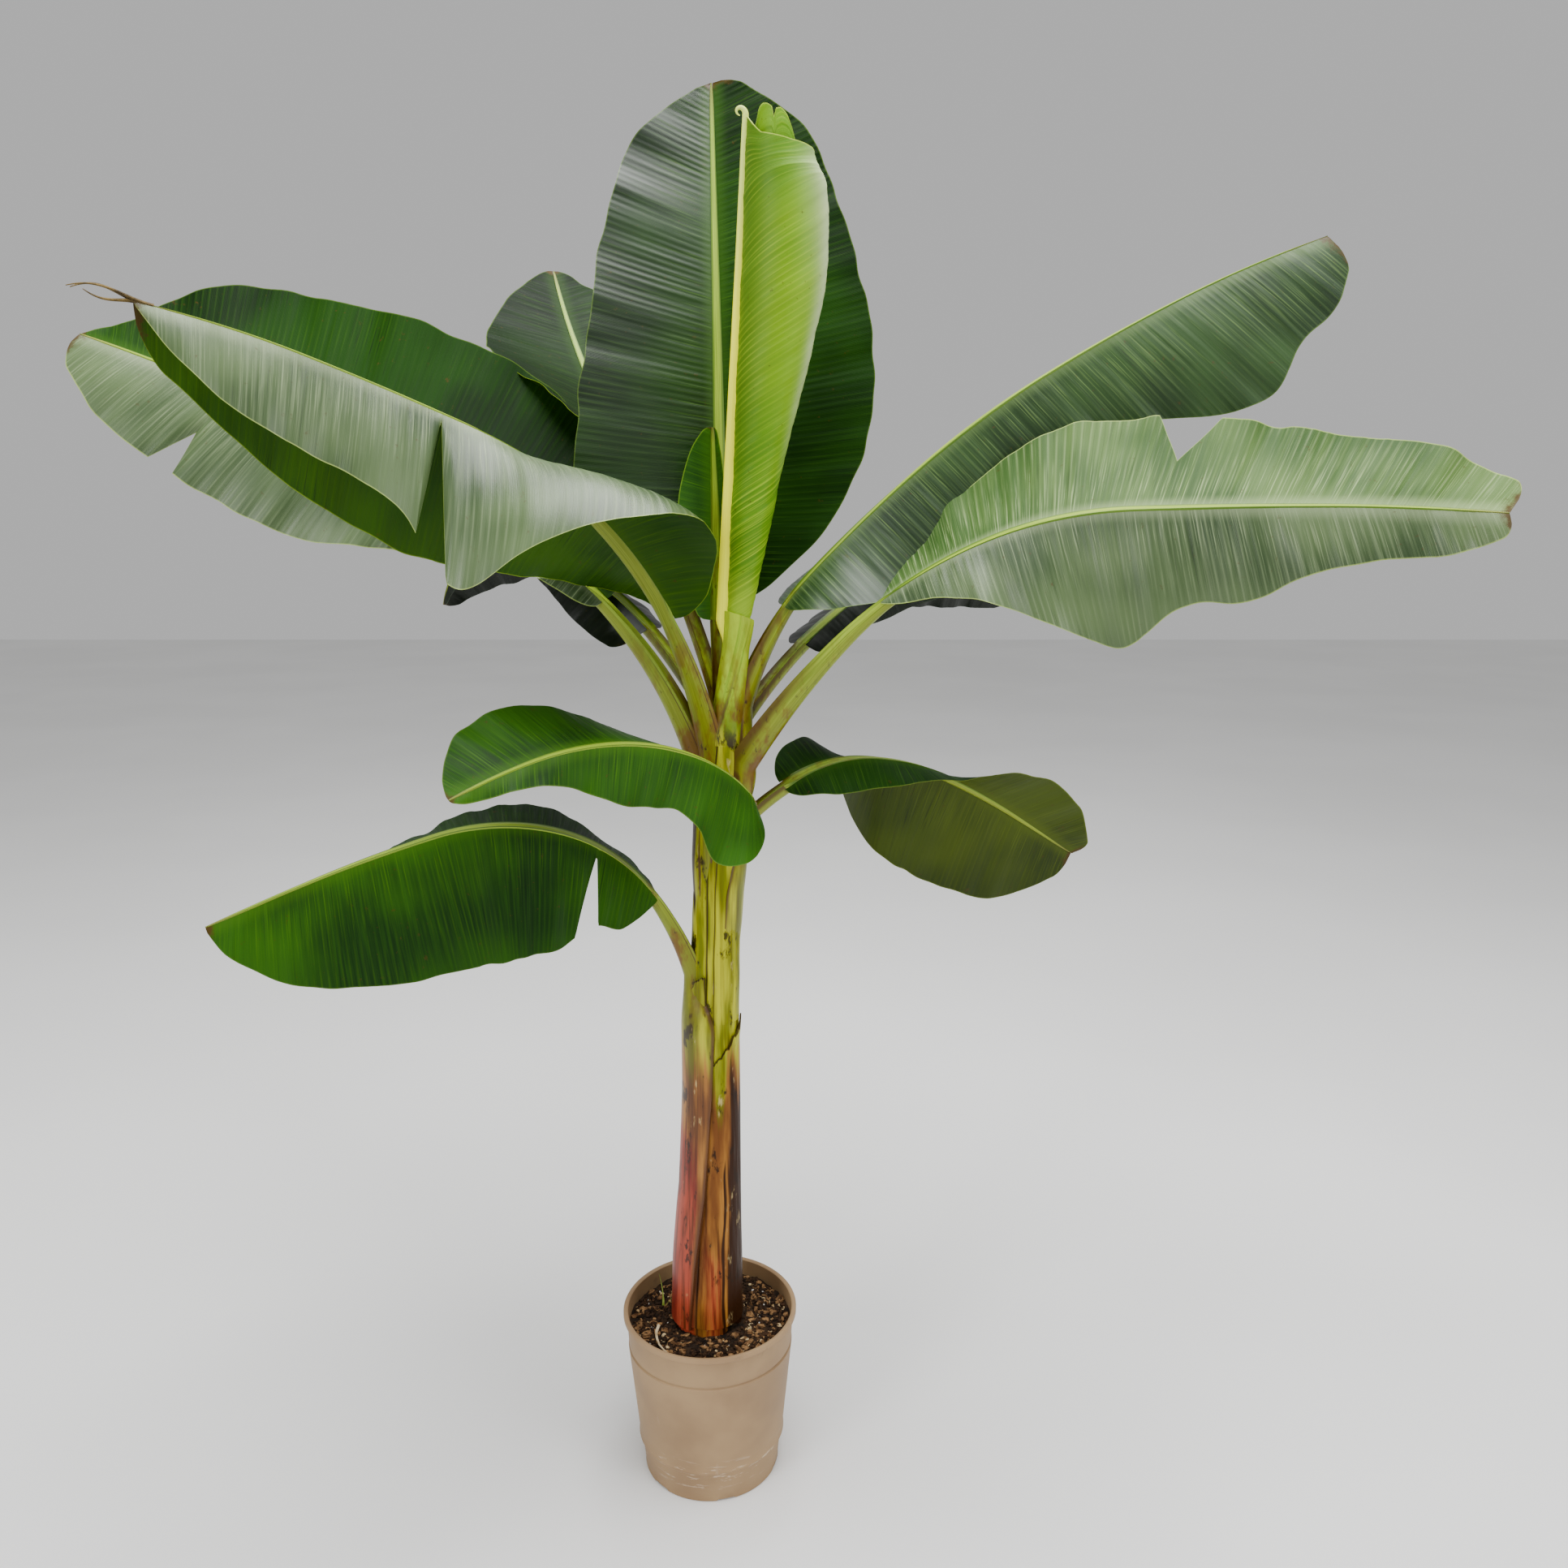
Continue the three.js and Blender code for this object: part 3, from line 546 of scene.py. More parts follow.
def leaf_material(name, deep, light, line, margin, roughness, specular):
    """A blade: two greens in soft patches, streaks, dark furrow lines of painted shade
    and pale threads across it, faint side veins, a thin margin, and dry specks and
    tip. place holds metres along the rib, out from it and in from the margin. The
    other attribute holds how far along the blade (0 to 1), how much painted shade
    darkens its green, and a pale waxy whitening that is partly painted sheen."""
    shader = Shader(name, specular)
    run, reach, inward = shader.place()
    far, painted_shade, bloom_and_sheen = shader.place("wear_shade_sheen")
    where = shader.where()
    color = shader.blend(shader.spread(shader.noise(where, 5.0, 2.0), 0.35, 0.65), deep, light)
    streaks = shader.streaks(run, reach, 230.0, 7.0, 4.0)
    color = shader.blend(shader.spread(streaks, 0.42, 0.75, 0.0, 0.5), color, light)
    # Painted shade: the green darkened towards half its deep colour.
    color = shader.blend(painted_shade, color, darker(deep, 0.5))
    strength = shader.spread(shader.noise(where, 12.0, 2.0), 0.35, 0.7, 0.02, 0.25)
    veins = shader.waves(run, BLADE["vein"] * MM, 6.0)
    color = shader.blend(shader.times(veins, strength), color, line)
    threads = shader.streaks(run, reach, 520.0, 9.0, 3.0, 0.6)
    strength = shader.spread(shader.noise(where, 8.0, 2.0), 0.4, 0.66, 0.0, 0.6)
    # Painted shade: dark furrow lines across the blade.
    furrow_shade = shader.times(shader.spread(threads, 0.32, 0.46, 1.0, 0.0), strength)
    color = shader.blend(furrow_shade, color, darker(deep, 0.35))
    strength = shader.spread(reach, 0.02, 0.13, 0.6, 0.1)
    pale = shader.times(shader.spread(threads, 0.52, 0.7), strength)
    color = shader.blend(pale, color, line)
    color = shader.blend(shader.spread(reach, 0.005, 0.024, 0.4, 0.0), color, line)
    # A pale waxy whitening, partly painted sheen.
    color = shader.blend(bloom_and_sheen, color, rgb(206, 216, 176))
    color = shader.blend(shader.spread(inward, 0.0004, 0.0018, 0.6, 0.0), color, margin)
    dry = rgb(66, 48, 12)
    specks = shader.noise(where, 95.0, 4.0, 0.7)
    color = shader.blend(shader.spread(specks, 0.64, 0.72, 0.0, 0.55), color, dry)
    ragged = shader.math("MULTIPLY_ADD", shader.noise(where, 60.0, 4.0, 0.7), 0.05, far)
    color = shader.blend(shader.spread(ragged, 1.006, 1.022, 0.0, 0.95), color, dry)
    shader.color(color)
    shader.roughness(shader.spread(streaks, 0.2, 0.8, roughness - 0.07, roughness + 0.1))
    fine = shader.waves(run, BLADE["vein"] * MM / 6)
    grain = shader.noise(where, 260.0, 2.0)
    shader.bump(shader.math("MULTIPLY_ADD", grain, 0.6, shader.times(fine, 0.4)), 0.3, 0.0004)
    return shader.material


def stem_color(shader, dry=0.0):
    """Colour of the sheaths on the stem, streaked along their length, with brown
    lines, dark stains and pale flakes. tone holds how green, how red and how dark
    each part is, where dark is painted shade, and what is none of these is brown."""
    green, red, dark = shader.place("tone")
    where = shader.where()
    lines = shader.noise(shader.scaled(where, 150.0, 3.4), 1.0, 5.0, 0.6)
    wide = shader.noise(shader.scaled(where, 42.0, 6.0), 1.0, 3.0)
    brown = shader.blend(shader.spread(wide, 0.35, 0.65), rgb(104, 60, 22), rgb(166, 112, 44))
    olive = shader.blend(shader.spread(wide, 0.38, 0.66), rgb(108, 114, 0), rgb(186, 186, 30))
    pink = shader.blend(shader.spread(wide, 0.35, 0.65), rgb(110, 26, 16), rgb(168, 66, 42))
    streak = shader.math("SUBTRACT", lines, 0.5)
    shares = [shader.math("ADD", share, streak) for share in (green, red, dark)]
    green, red, dark = (shader.spread(share, 0.28, 0.72) for share in shares)
    color = shader.blend(red, shader.blend(green, brown, olive), pink)
    weaker = shader.math("MULTIPLY_ADD", green, -0.5, 1.0)
    strong = shader.times(shader.spread(lines, 0.46, 0.66, 0.0, 0.78), weaker)
    color = shader.blend(strong, color, rgb(66, 34, 8))
    # Painted shade down the stem's sides and in a fold.
    color = shader.blend(dark, color, rgb(46, 22, 4))
    color = shader.blend(dry, color, rgb(150, 128, 96))
    stains = shader.noise(shader.scaled(where, 1.0, 0.4), 46.0, 5.0, 0.65)
    color = shader.blend(shader.spread(stains, 0.575, 0.65, 0.0, 0.92), color, rgb(36, 20, 8))
    flakes = shader.noise(shader.scaled(where, 1.0, 0.3), 60.0, 4.0, 0.65)
    color = shader.blend(shader.spread(flakes, 0.62, 0.72, 0.0, 0.55), color, rgb(206, 182, 124))
    return color, lines, stains


def rib_material(name, pale, mid, shade, roughness):
    """A rib or stalk: pale above and a darker green to the sides, with fine lines
    along it, green beside it on the blade, brown stains, spots and worn edges near
    the stem, the stem's own colours where its foot lies on the stem, and a painted
    shadow line along the sides of that foot. rib holds metres from the stem, round
    the section (0 to 1), and the share of the blade passed."""
    shader = Shader(name, specular=0.3)
    run, turn, far = shader.place("rib")
    lines = shader.streaks(run, turn, 9.0, 40.0, 4.0)
    color = shader.blend(shader.spread(lines, 0.3, 0.7), mid, pale)
    color = shader.blend(shader.spread(turn, 0.45, 0.58, 0.0, 0.5), color, shade)
    color = shader.blend(shader.spread(run, -0.02, 0.16, 0.8, 0.0), color, shade)
    side = shader.math("ABSOLUTE", shader.math("MULTIPLY_ADD", turn, 4.5, -1.0))
    edge = shader.times(shader.spread(side, 0.4, 0.9), shader.spread(side, 1.1, 1.4, 1.0, 0.0))
    beside = shader.times(edge, shader.spread(far, 0.0, 0.03, 0.0, 0.8))
    color = shader.blend(beside, color, rgb(46, 84, 14))
    where = shader.where()
    near = shader.spread(run, 0.03, 0.3, 1.0, 0.0)
    stains = shader.noise(shader.scaled(where, 1.0, 0.4), 34.0, 4.0, 0.65)
    stains = shader.times(shader.spread(stains, 0.45, 0.62, 0.0, 0.9), near)
    color = shader.blend(stains, color, rgb(104, 66, 10))
    worn = shader.times(shader.spread(run, 0.1, 0.24, 0.85, 0.0), shader.spread(far, 0.0, 0.004, 1.0, 0.0))
    color = shader.blend(shader.times(edge, worn), color, rgb(72, 40, 8))
    spots = shader.noise(shader.scaled(where, 1.0, 0.45), 110.0, 4.0, 0.7)
    spots = shader.times(shader.spread(spots, 0.6, 0.68, 0.0, 0.9), near)
    color = shader.blend(spots, color, rgb(58, 38, 20))
    color = shader.blend(shader.spread(far, 0.9, 1.0, 0.0, 0.6), color, rgb(104, 92, 44))
    sheath, _, _ = stem_color(shader)
    color = shader.blend(shader.spread(run, -0.1, 0.005, 1.0, 0.0), color, sheath)
    # Painted shadow line along the sides of the foot where it lies on the stem.
    inward = shader.place()[2]
    color = shader.blend(shader.spread(inward, 0.0004, 0.003, 0.85, 0.0), color, rgb(74, 42, 20))
    shader.color(color)
    shader.roughness(shader.spread(lines, 0.2, 0.8, roughness, roughness + 0.12))
    shader.bump(lines, 0.35, 0.0008)
    return shader.material


def sheath_material(name, dry=0.0):
    """Leaf sheaths on the stem, with a painted shadow line along their edges. The
    last number of place is how far in the point is from the nearest edge, in metres."""
    shader = Shader(name, specular=0.12)
    color, lines, stains = stem_color(shader, dry)
    inward = shader.place()[2]
    # Painted shadow line: dark brown within 3 mm of each edge.
    shader.color(shader.blend(shader.spread(inward, 0.0003, 0.003, 0.9, 0.0), color, rgb(46, 24, 12)))
    shader.roughness(shader.spread(lines, 0.2, 0.8, 0.34, 0.58))
    shader.bump(shader.math("ADD", lines, shader.times(stains, 0.4)), 0.6, 0.0014)
    return shader.material


def pot_material():
    """Matt taupe plastic, with pale scuffs low down and dirt near its rim."""
    shader = Shader("pot_plastic", specular=0.35)
    where = shader.where()
    height = shader.node("ShaderNodeSeparateXYZ", where).outputs[2]
    cloud = shader.noise(where, 9.0, 3.0)
    color = shader.blend(shader.spread(cloud, 0.3, 0.7), rgb(140, 112, 80), rgb(160, 132, 96))
    scratch = shader.noise(shader.scaled(where, 26.0, 150.0), 1.0, 4.0, 0.7)
    low = shader.times(shader.spread(height, 0.085, 0.05), shader.spread(height, 0.015, 0.04))
    scuff = shader.times(shader.spread(scratch, 0.56, 0.66, 0.0, 0.75), low)
    color = shader.blend(scuff, color, rgb(214, 196, 172))
    rubbed = shader.noise(shader.scaled(where, 60.0, 9.0), 1.0, 3.0)
    color = shader.blend(shader.spread(rubbed, 0.66, 0.8, 0.0, 0.25), color, rgb(205, 186, 164))
    dirt = shader.spread(shader.noise(where, 34.0, 4.0, 0.7), 0.6, 0.75)
    dirt = shader.times(dirt, shader.spread(height, 0.225, 0.262, 0.0, 0.35))
    color = shader.blend(dirt, color, rgb(96, 76, 58))
    shader.color(color)
    shader.roughness(shader.spread(cloud, 0.3, 0.7, 0.5, 0.62))
    shader.bump(shader.noise(where, 700.0, 2.0), 0.25, 0.0003)
    return shader.material


def grain_material(name, dark, light, scale, roughness=0.9):
    """Soil, bark and chips: two tones and a coarse grain."""
    shader = Shader(name, specular=0.2, roughness=roughness)
    where = shader.where()
    speck = shader.noise(where, scale, 5.0, 0.7)
    shader.color(shader.blend(shader.spread(speck, 0.35, 0.68), dark, light))
    shader.bump(shader.noise(where, scale * 4, 4.0, 0.7), 0.8, 0.002)
    return shader.material


# --------------------------------------------------------------------- leaves


def core_at(z):
    """Middle and radius of the false stem, and of the heart above it."""
    heights = STEM["z"] + [HEART["high"]]
    x = np.interp(z, heights, STEM["x"] + [HEART["x"] + HEART["lean_x"]])
    radius = np.interp(z, heights, STEM["radius"] + [HEART["high_radius"]])
    y = np.interp(z, [HEART["low"], HEART["high"]], [0, HEART["lean_y"]])
    return x, y, radius


class Rib:
    """The line that a leaf grows along, from its foot to its tip."""

    steps = 60

    def __init__(self, leaf):
        self.total = leaf["stalk"] + leaf["length"]
        u = np.linspace(0, 1, self.steps + 1)
        heading = np.radians(along(leaf["heading"], u))
        climb = np.radians(along(leaf["climb"], u))
        flat = np.cos(climb)
        self.forward = triples(flat * np.cos(heading), flat * np.sin(heading), np.sin(climb))
        self.side = triples(-np.sin(heading), np.cos(heading), 0)
        foot = leaf["foot"]
        way = math.radians(foot.get("toward", leaf["heading"][0]))
        stem_x = np.interp(foot["z"], STEM["z"], STEM["x"])
        start = np.array([stem_x + foot["out"] * math.cos(way), foot["out"] * math.sin(way), foot["z"]])
        moved = np.cumsum(self.forward[:-1] * self.total / self.steps, 0)
        self.point = start + np.concatenate([np.zeros((1, 3)), moved])

    def at(self, distance):
        """Point, forward, side and upward directions at distances from the foot."""
        place = np.clip(np.asarray(distance, float) / self.total, 0, 1) * self.steps
        i = np.minimum(place.astype(int), self.steps - 1)
        t = (place - i)[:, None]
        lines = (self.point, self.forward, self.side)
        point, forward, side = (line[i] * (1 - t) + line[i + 1] * t for line in lines)
        return point, forward, side, np.cross(forward, side)


def torn(leaf, side, u):
    """How much of the width is left where the margin is torn or nicked."""
    left = np.ones_like(u)
    for tear in leaf.get("tears", ()):
        if tear["side"] == side:
            near = 1 - np.abs(u - tear["at"]) / tear["open"]
            left = np.minimum(left, 1 - tear["depth"] * np.clip(near, 0, 1))
    return left


def rib_half(u):
    """Half the width of the rib along the blade."""
    return mix(BLADE["rib_width"], 4, u) / 2


def rounded_tip(u, start):
    """1 along the blade, and down to 0 on an arc from there to its tip."""
    return np.sqrt(np.clip(1 - (np.clip(u - start, 0, 1) / (1 - start)) ** 2, 0, 1))


# Where the points of a half lie, from the rib (0) to the margin (1).
SHARES = [0, 0.04, 0.09, 0.16, 0.24, 0.33, 0.42, 0.52, 0.62, 0.72, 0.81, 0.89, 0.95, 0.985, 1]


def half_blade(leaf, rib, side, u, seed):
    """Points and outward normals over one half, with how far each point lies
    along the blade, out from the rib and in from the margin."""
    half = leaf[side]
    sign = 1 if side == "left" else -1
    run = leaf["length"] * u
    edge = rib_half(u)
    width = smooth_along(half["widths"], u) * torn(leaf, side, u)
    width = np.maximum(width * (1 + 0.012 * ripple(seed, run, 90)), edge + 3)
    width = width * mix(0.12, 1, rounded_tip(u, leaf.get("blunt", 0.955)))
    width = width * mix(0.45, 1, rounded_tip(1 - u, 0.96))
    lean = np.tan(np.radians(mix(*leaf.get("lean", BLADE["lean"]), u)))
    fold, curl = smooth_along(half["fold"], u), smooth_along(half["curl"], u)
    point, forward, side_way, up = rib.at(leaf["stalk"] + run)
    points, normals, reaches = [], [], []
    before = 0 * u
    for share in SHARES:
        reach = mix(np.minimum(edge, width * 0.8), width, share)
        step = reach - before
        angle = np.radians(fold + curl * (before + reach) / 2 / width)
        ahead = step * lean
        if share == 0:
            angle = np.radians(fold * BLADE["shoulder"])
            ahead = 0 * step
        point = point + side_way * (sign * step * np.cos(angle))[:, None]
        point = point + up * (step * np.sin(angle))[:, None] + forward * ahead[:, None]
        normals.append(side_way * (-sign * np.sin(angle))[:, None] + up * np.cos(angle)[:, None])
        points.append(point)
        reaches.append(reach)
        before = reach
    points, normals = np.stack(points, 1), np.stack(normals, 1)
    reaches = np.stack(reaches, 1)
    points += normals * half_relief(leaf, run, seed)[..., None]
    inward = width[:, None] - reaches
    return points, normals, run, reaches, inward


def half_relief(leaf, run, seed):
    """How far the blade swells and dips: side veins, pleats along them, slow
    waves and a rippled margin."""
    share = np.asarray(SHARES)[None, :]
    row = run[:, None]
    calm = ease(0, 0.06, row / leaf["length"]) * (1 - ease(0.93, 1, row / leaf["length"]))
    uneven = 0.55 + 0.45 * patches(seed + 7, row, share * 120, 150)
    veins = leaf.get("veins", 0.13) * uneven * np.cos(TURN * row / BLADE["vein"]) * ease(0, 0.08, share)
    pleats = 0.5 * ripple(seed + 5, row + 8 * share, 26) + 0.25 * ripple(seed + 6, row, 13)
    pleats = leaf.get("pleats", 1.0) * pleats * ease(0, 0.2, share)
    pleats = pleats * (0.6 + 0.4 * patches(seed + 8, row, share * 150, 190))
    slow, quick = leaf.get("waves", (4.0, 2.0))
    broad = slow * (ripple(seed + 1, row, 130) + 0.45 * ripple(seed + 2, row, 62)) * share
    frill = quick * ripple(seed + 3, row, 70) * share**3
    return veins + calm * (pleats + broad + frill)


def half_mesh(leaf, rib, side, seed):
    """Both faces of one half of the blade, closed round its margin. The faces'
    kinds are 0 for the left half, 1 for the right and 2 for the underside."""
    count = int(4 * leaf["length"] / BLADE["vein"])
    u = np.linspace(0, 1, count)
    top, normals, run, reach, inward = half_blade(leaf, rib, side, u, seed)
    thick = mix(1.6, 0.7, np.asarray(SHARES))[None, :, None]
    ring = there_and_back(top, top - normals * thick)
    faces = sheet_faces(count, len(SHARES))
    kinds = np.full(len(faces), 2)
    rows = kinds[:(count - 1) * ring.shape[1]].reshape(count - 1, -1)
    rows[:, :len(SHARES) - 1] = 0 if side == "left" else 1
    if side == "left":
        faces = faces[:, ::-1]
    place = around(run[:, None], reach, inward) * MM
    wear_shade_sheen = around(u[:, None], 0 * reach, 0)
    return ring.reshape(-1, 3), faces, kinds, place.reshape(-1, 3), wear_shade_sheen.reshape(-1, 3)


def blade_mesh(leaf, rib, seed, materials):
    """Both halves of a blade, as one mesh."""
    left = half_mesh(leaf, rib, "left", seed)
    right = half_mesh(leaf, rib, "right", seed + 40)
    points, faces, kinds, place, wear_shade_sheen = (np.concatenate(pair) for pair in zip(left, right))
    faces[len(left[1]):] += len(left[0])
    return new_mesh(leaf["name"], points, faces, materials, kinds, {"place": place, "wear_shade_sheen": wear_shade_sheen})


# The section of a stalk or rib: how far across, first along its top and then
# round its keel.
CHANNEL = np.linspace(1, -1, 9)
KEEL = np.linspace(0, math.pi, 11)[1:-1][::-1]
# A stalk's foot runs down the stem and widens into a sheath lying against it.
# The lower a leaf stands below top, the further out its sheath lies.
ROOT = dict(length=210, join=95, width=27, spread=4 / 3, thick=5.5, lift=0.022, top=1240, sunk=3)


def rib_section(leaf, distance, u):
    """Half width, depth, groove and slope of the two sides of a stalk and rib."""
    on_stalk = np.clip(distance / leaf["stalk"], 0, 1)
    half = mix(leaf["stalk_width"] / 2, BLADE["rib_width"] / 2, on_stalk)
    half = np.where(u > 0, rib_half(u) + 0.6, half)
    deep = mix(leaf["stalk_width"] * 0.8, BLADE["rib_depth"], on_stalk)
    deep = np.where(u > 0, mix(BLADE["rib_depth"], 2.5, u), deep)
    groove = mix(mix(leaf["stalk_width"] * 0.34, 3.5, on_stalk), 0.6, ease(0, 0.4, u))
    slopes = []
    for side in ("left", "right"):
        slope = smooth_along(leaf[side]["fold"], u) * BLADE["shoulder"] * ease(0, 0.05, u)
        slopes.append(np.radians(slope))
    tip = mix(0.35, 1, rounded_tip(u, 0.93))
    return half * tip, deep * tip, groove, slopes


def root_section(leaf, down):
    """Rings of the sheath that the foot widens into, wrapped on the stem."""
    foot = leaf["foot"]
    way = math.radians(leaf.get("root", foot.get("toward", leaf["heading"][0])))
    z = foot["z"] - down
    x, y, radius = core_at(z)
    low = down / leaf.get("root_length", ROOT["length"])
    lift = mix(1 + (ROOT["top"] - foot["z"]) * ROOT["lift"], 0, low) - ROOT["sunk"] * ease(0.6, 1, low)
    lift = lift + leaf.get("root_lift", 0) * ease(0.2, 0.9, low)
    width = min(ROOT["width"], leaf["stalk_width"] * 0.8 + 4)
    wide = mix(*leaf.get("root_width", (width, width * ROOT["spread"])), low)
    thick = mix(ROOT["thick"], 1.2, low)
    rows = []
    for a in CHANNEL:
        rows.append((way + a * wide / radius, radius - 2))
    for a in KEEL:
        rows.append((way + math.cos(a) * wide / radius, radius + lift + thick * math.sin(a) ** 0.5))
    points = [triples(x + reach * np.cos(turn), y + reach * np.sin(turn), z) for turn, reach in rows]
    return np.stack(points, 1)


def stalk_mesh(leaf, rib, material):
    """The stalk and rib: one long tapering channel from the stem to the tip."""
    length = leaf.get("root_length", ROOT["length"])
    down = np.linspace(length, 0, 10 + round(length / 7))[:-1]
    ahead = np.linspace(0, rib.total, 150)
    distance = np.concatenate([-down, ahead])
    point, _, side_way, up = rib.at(distance)
    point = point - np.concatenate([down, 0 * ahead])[:, None] * [0, 0, 1]
    u = np.clip((distance - leaf["stalk"]) / leaf["length"], 0, 1)
    half, deep, groove, (left, right) = rib_section(leaf, distance, u)
    points = []
    for a in CHANNEL:
        tilt = left if a > 0 else right
        rise = abs(a) * half * np.sin(tilt) + 1.1 - groove * (1 - abs(a) ** 2.2)
        points.append(point + side_way * (a * half * np.cos(tilt))[:, None] + up * rise[:, None])
    for a in KEEL:
        tilt = left if math.cos(a) > 0 else right
        rise = abs(math.cos(a)) * half * np.sin(tilt) - deep * math.sin(a) ** 0.85
        points.append(point + side_way * (math.cos(a) * half * np.cos(tilt))[:, None] + up * rise[:, None])
    ring = np.stack(points, 1)
    blend = ease(0, ROOT["join"], down)[:, None, None]
    ring[:len(down)] = mix(ring[:len(down)], root_section(leaf, down), blend)
    rows, columns = ring.shape[:2]
    across = np.abs(np.linspace(-1, 1, len(KEEL) + 2)[1:-1])
    # How far in from the sides of the foot, for the painted shadow line along them; it grows large past the
    # stem, where there is no line.
    inward = np.concatenate([np.zeros(len(CHANNEL)), np.maximum(0, 0.8 - across)]) * half[:, None]
    inward = inward + 20 * ease(-25, 25, distance)[:, None]
    x, y, _ = core_at(ring[..., 2])
    heading = np.arctan2(ring[..., 1] - y, ring[..., 0] - x) / TURN % 1.0
    values = {
        "rib": triples(distance[:, None] * MM, np.arange(columns) / columns, u[:, None]),
        "place": triples(0, 0, inward * MM),
        "tone": triples(*tones(heading, ring[..., 2])),
    }
    faces = tube_faces(rows, columns)
    return new_mesh(leaf["name"] + "_rib", ring, faces, [material], values=values, sharp=60)


def leaf_greens():
    """The kinds of leaf surface: two greens, veins, margin, roughness and shine."""
    margin = rgb(84, 110, 34)
    kinds = {
        "dark": (rgb(5, 26, 0), rgb(18, 50, 0), rgb(62, 94, 28), margin, 0.34, 0.42),
        "deep": (rgb(3, 18, 0), rgb(10, 34, 0), rgb(40, 70, 12), margin, 0.5, 0.08),
        "grey": (rgb(14, 38, 6), rgb(38, 66, 24), rgb(94, 120, 62), margin, 0.38, 0.42),
        "satin": (rgb(5, 28, 0), rgb(18, 52, 0), rgb(48, 84, 8), margin, 0.52, 0.06),
        "fresh": (rgb(8, 40, 0), rgb(36, 80, 0), rgb(60, 102, 0), margin, 0.5, 0.12),
        # pale and matt: pale grey-greens, partly painted sheen: the grey that the glossy halves take from
        # the bright surroundings is put into the colour, and matt keeps little real shine.
        "pale": (rgb(40, 60, 28), rgb(78, 98, 58), rgb(134, 150, 110), rgb(160, 180, 90), 0.38, 0.45),
        "matt": (rgb(46, 74, 28), rgb(84, 110, 56), rgb(152, 172, 118), rgb(168, 188, 104), 0.5, 0.1),
        # under and olive: the undersides' own greens, brightened and saturated as painted light shining
        # through the blade.
        "under": (rgb(24, 58, 0), rgb(46, 82, 0), rgb(64, 100, 0), rgb(130, 158, 36), 0.52, 0.12),
        "olive": (rgb(34, 48, 0), rgb(56, 70, 0), rgb(76, 90, 2), rgb(106, 120, 26), 0.5, 0.15),
        # shade: near black, painted shade for the leaves hanging deep under the crown.
        "shade": (rgb(2, 8, 1), rgb(6, 17, 3), rgb(18, 32, 10), rgb(30, 46, 18), 0.42, 0.3),
        "young": (rgb(18, 60, 0), rgb(38, 86, 0), rgb(62, 110, 0), rgb(116, 154, 30), 0.42, 0.2),
    }
    return {kind: leaf_material("leaf_" + kind, *values) for kind, values in kinds.items()}


def add_leaves():
    greens = leaf_greens()
    stalk = rib_material("stalk", rgb(158, 182, 50), rgb(100, 130, 8), rgb(112, 112, 0), 0.34)
    dry = grain_material("dry_leaf", rgb(52, 40, 18), rgb(112, 92, 48), 60.0, 0.7)
    for number, leaf in enumerate(LEAVES):
        leaf = leaf | LOOKS[leaf["name"]]
        rib = Rib(leaf)
        name = leaf["name"]
        blades = [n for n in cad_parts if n.startswith(name + "_") and n.endswith("blade")]
        materials = [greens[kind] for kind in leaf["kinds"]]
        mesh = blade_mesh(leaf, rib, 100 * number, materials)
        add_piece(name, mesh, "new_leaf" if name == "leaf_young" else "leaf", *blades)
        add_piece(name + "_rib", stalk_mesh(leaf, rib, stalk), "stalk", name + "_stalk")
        if "strands" in leaf:
            bits = joined([dry_strand(rib, *numbers) for numbers in leaf["strands"]])
            add_bits(name + "_dry_tip", bits, dry, slot="leaf")


def dry_strand(rib, back, length, aside, rise):
    """One dried shred at the tip of a leaf, that starts a little before the tip."""
    point, forward, side, up = rib.at(np.array([rib.total - back]))
    s = np.linspace(0, 1, 26)[:, None]
    curl = np.sin(3.2 * s) * s
    line = point + forward * length * s + side * aside * curl + up * rise * curl
    return strand(line, 6.0, 4.4)


# ----------------------------------------------------------- the rolled leaf


def roll_point(t, turn, thick=0.0):
    """A point of the roll at height t (0 to 1) after that many turns."""
    outer = smooth_along(ROLL["radii"], t)
    radius = outer * (1 - ROLL["wind"] * turn) - thick
    angle = math.radians(ROLL["seam"]) + turn * TURN
    rim = np.interp(turn, ROLL["rim_turns"], ROLL["rim_rise"])
    z = mix(HEART["high"], ROLL["high"], t) + ease(0.86, 1, t) * rim
    x = mix(ROLL["edge_low"], ROLL["edge_high"], t) + outer + radius * np.cos(angle)
    y = ROLL["y"] + ROLL["lean_y"] * t + radius * np.sin(angle)
    return triples(x, y, z)


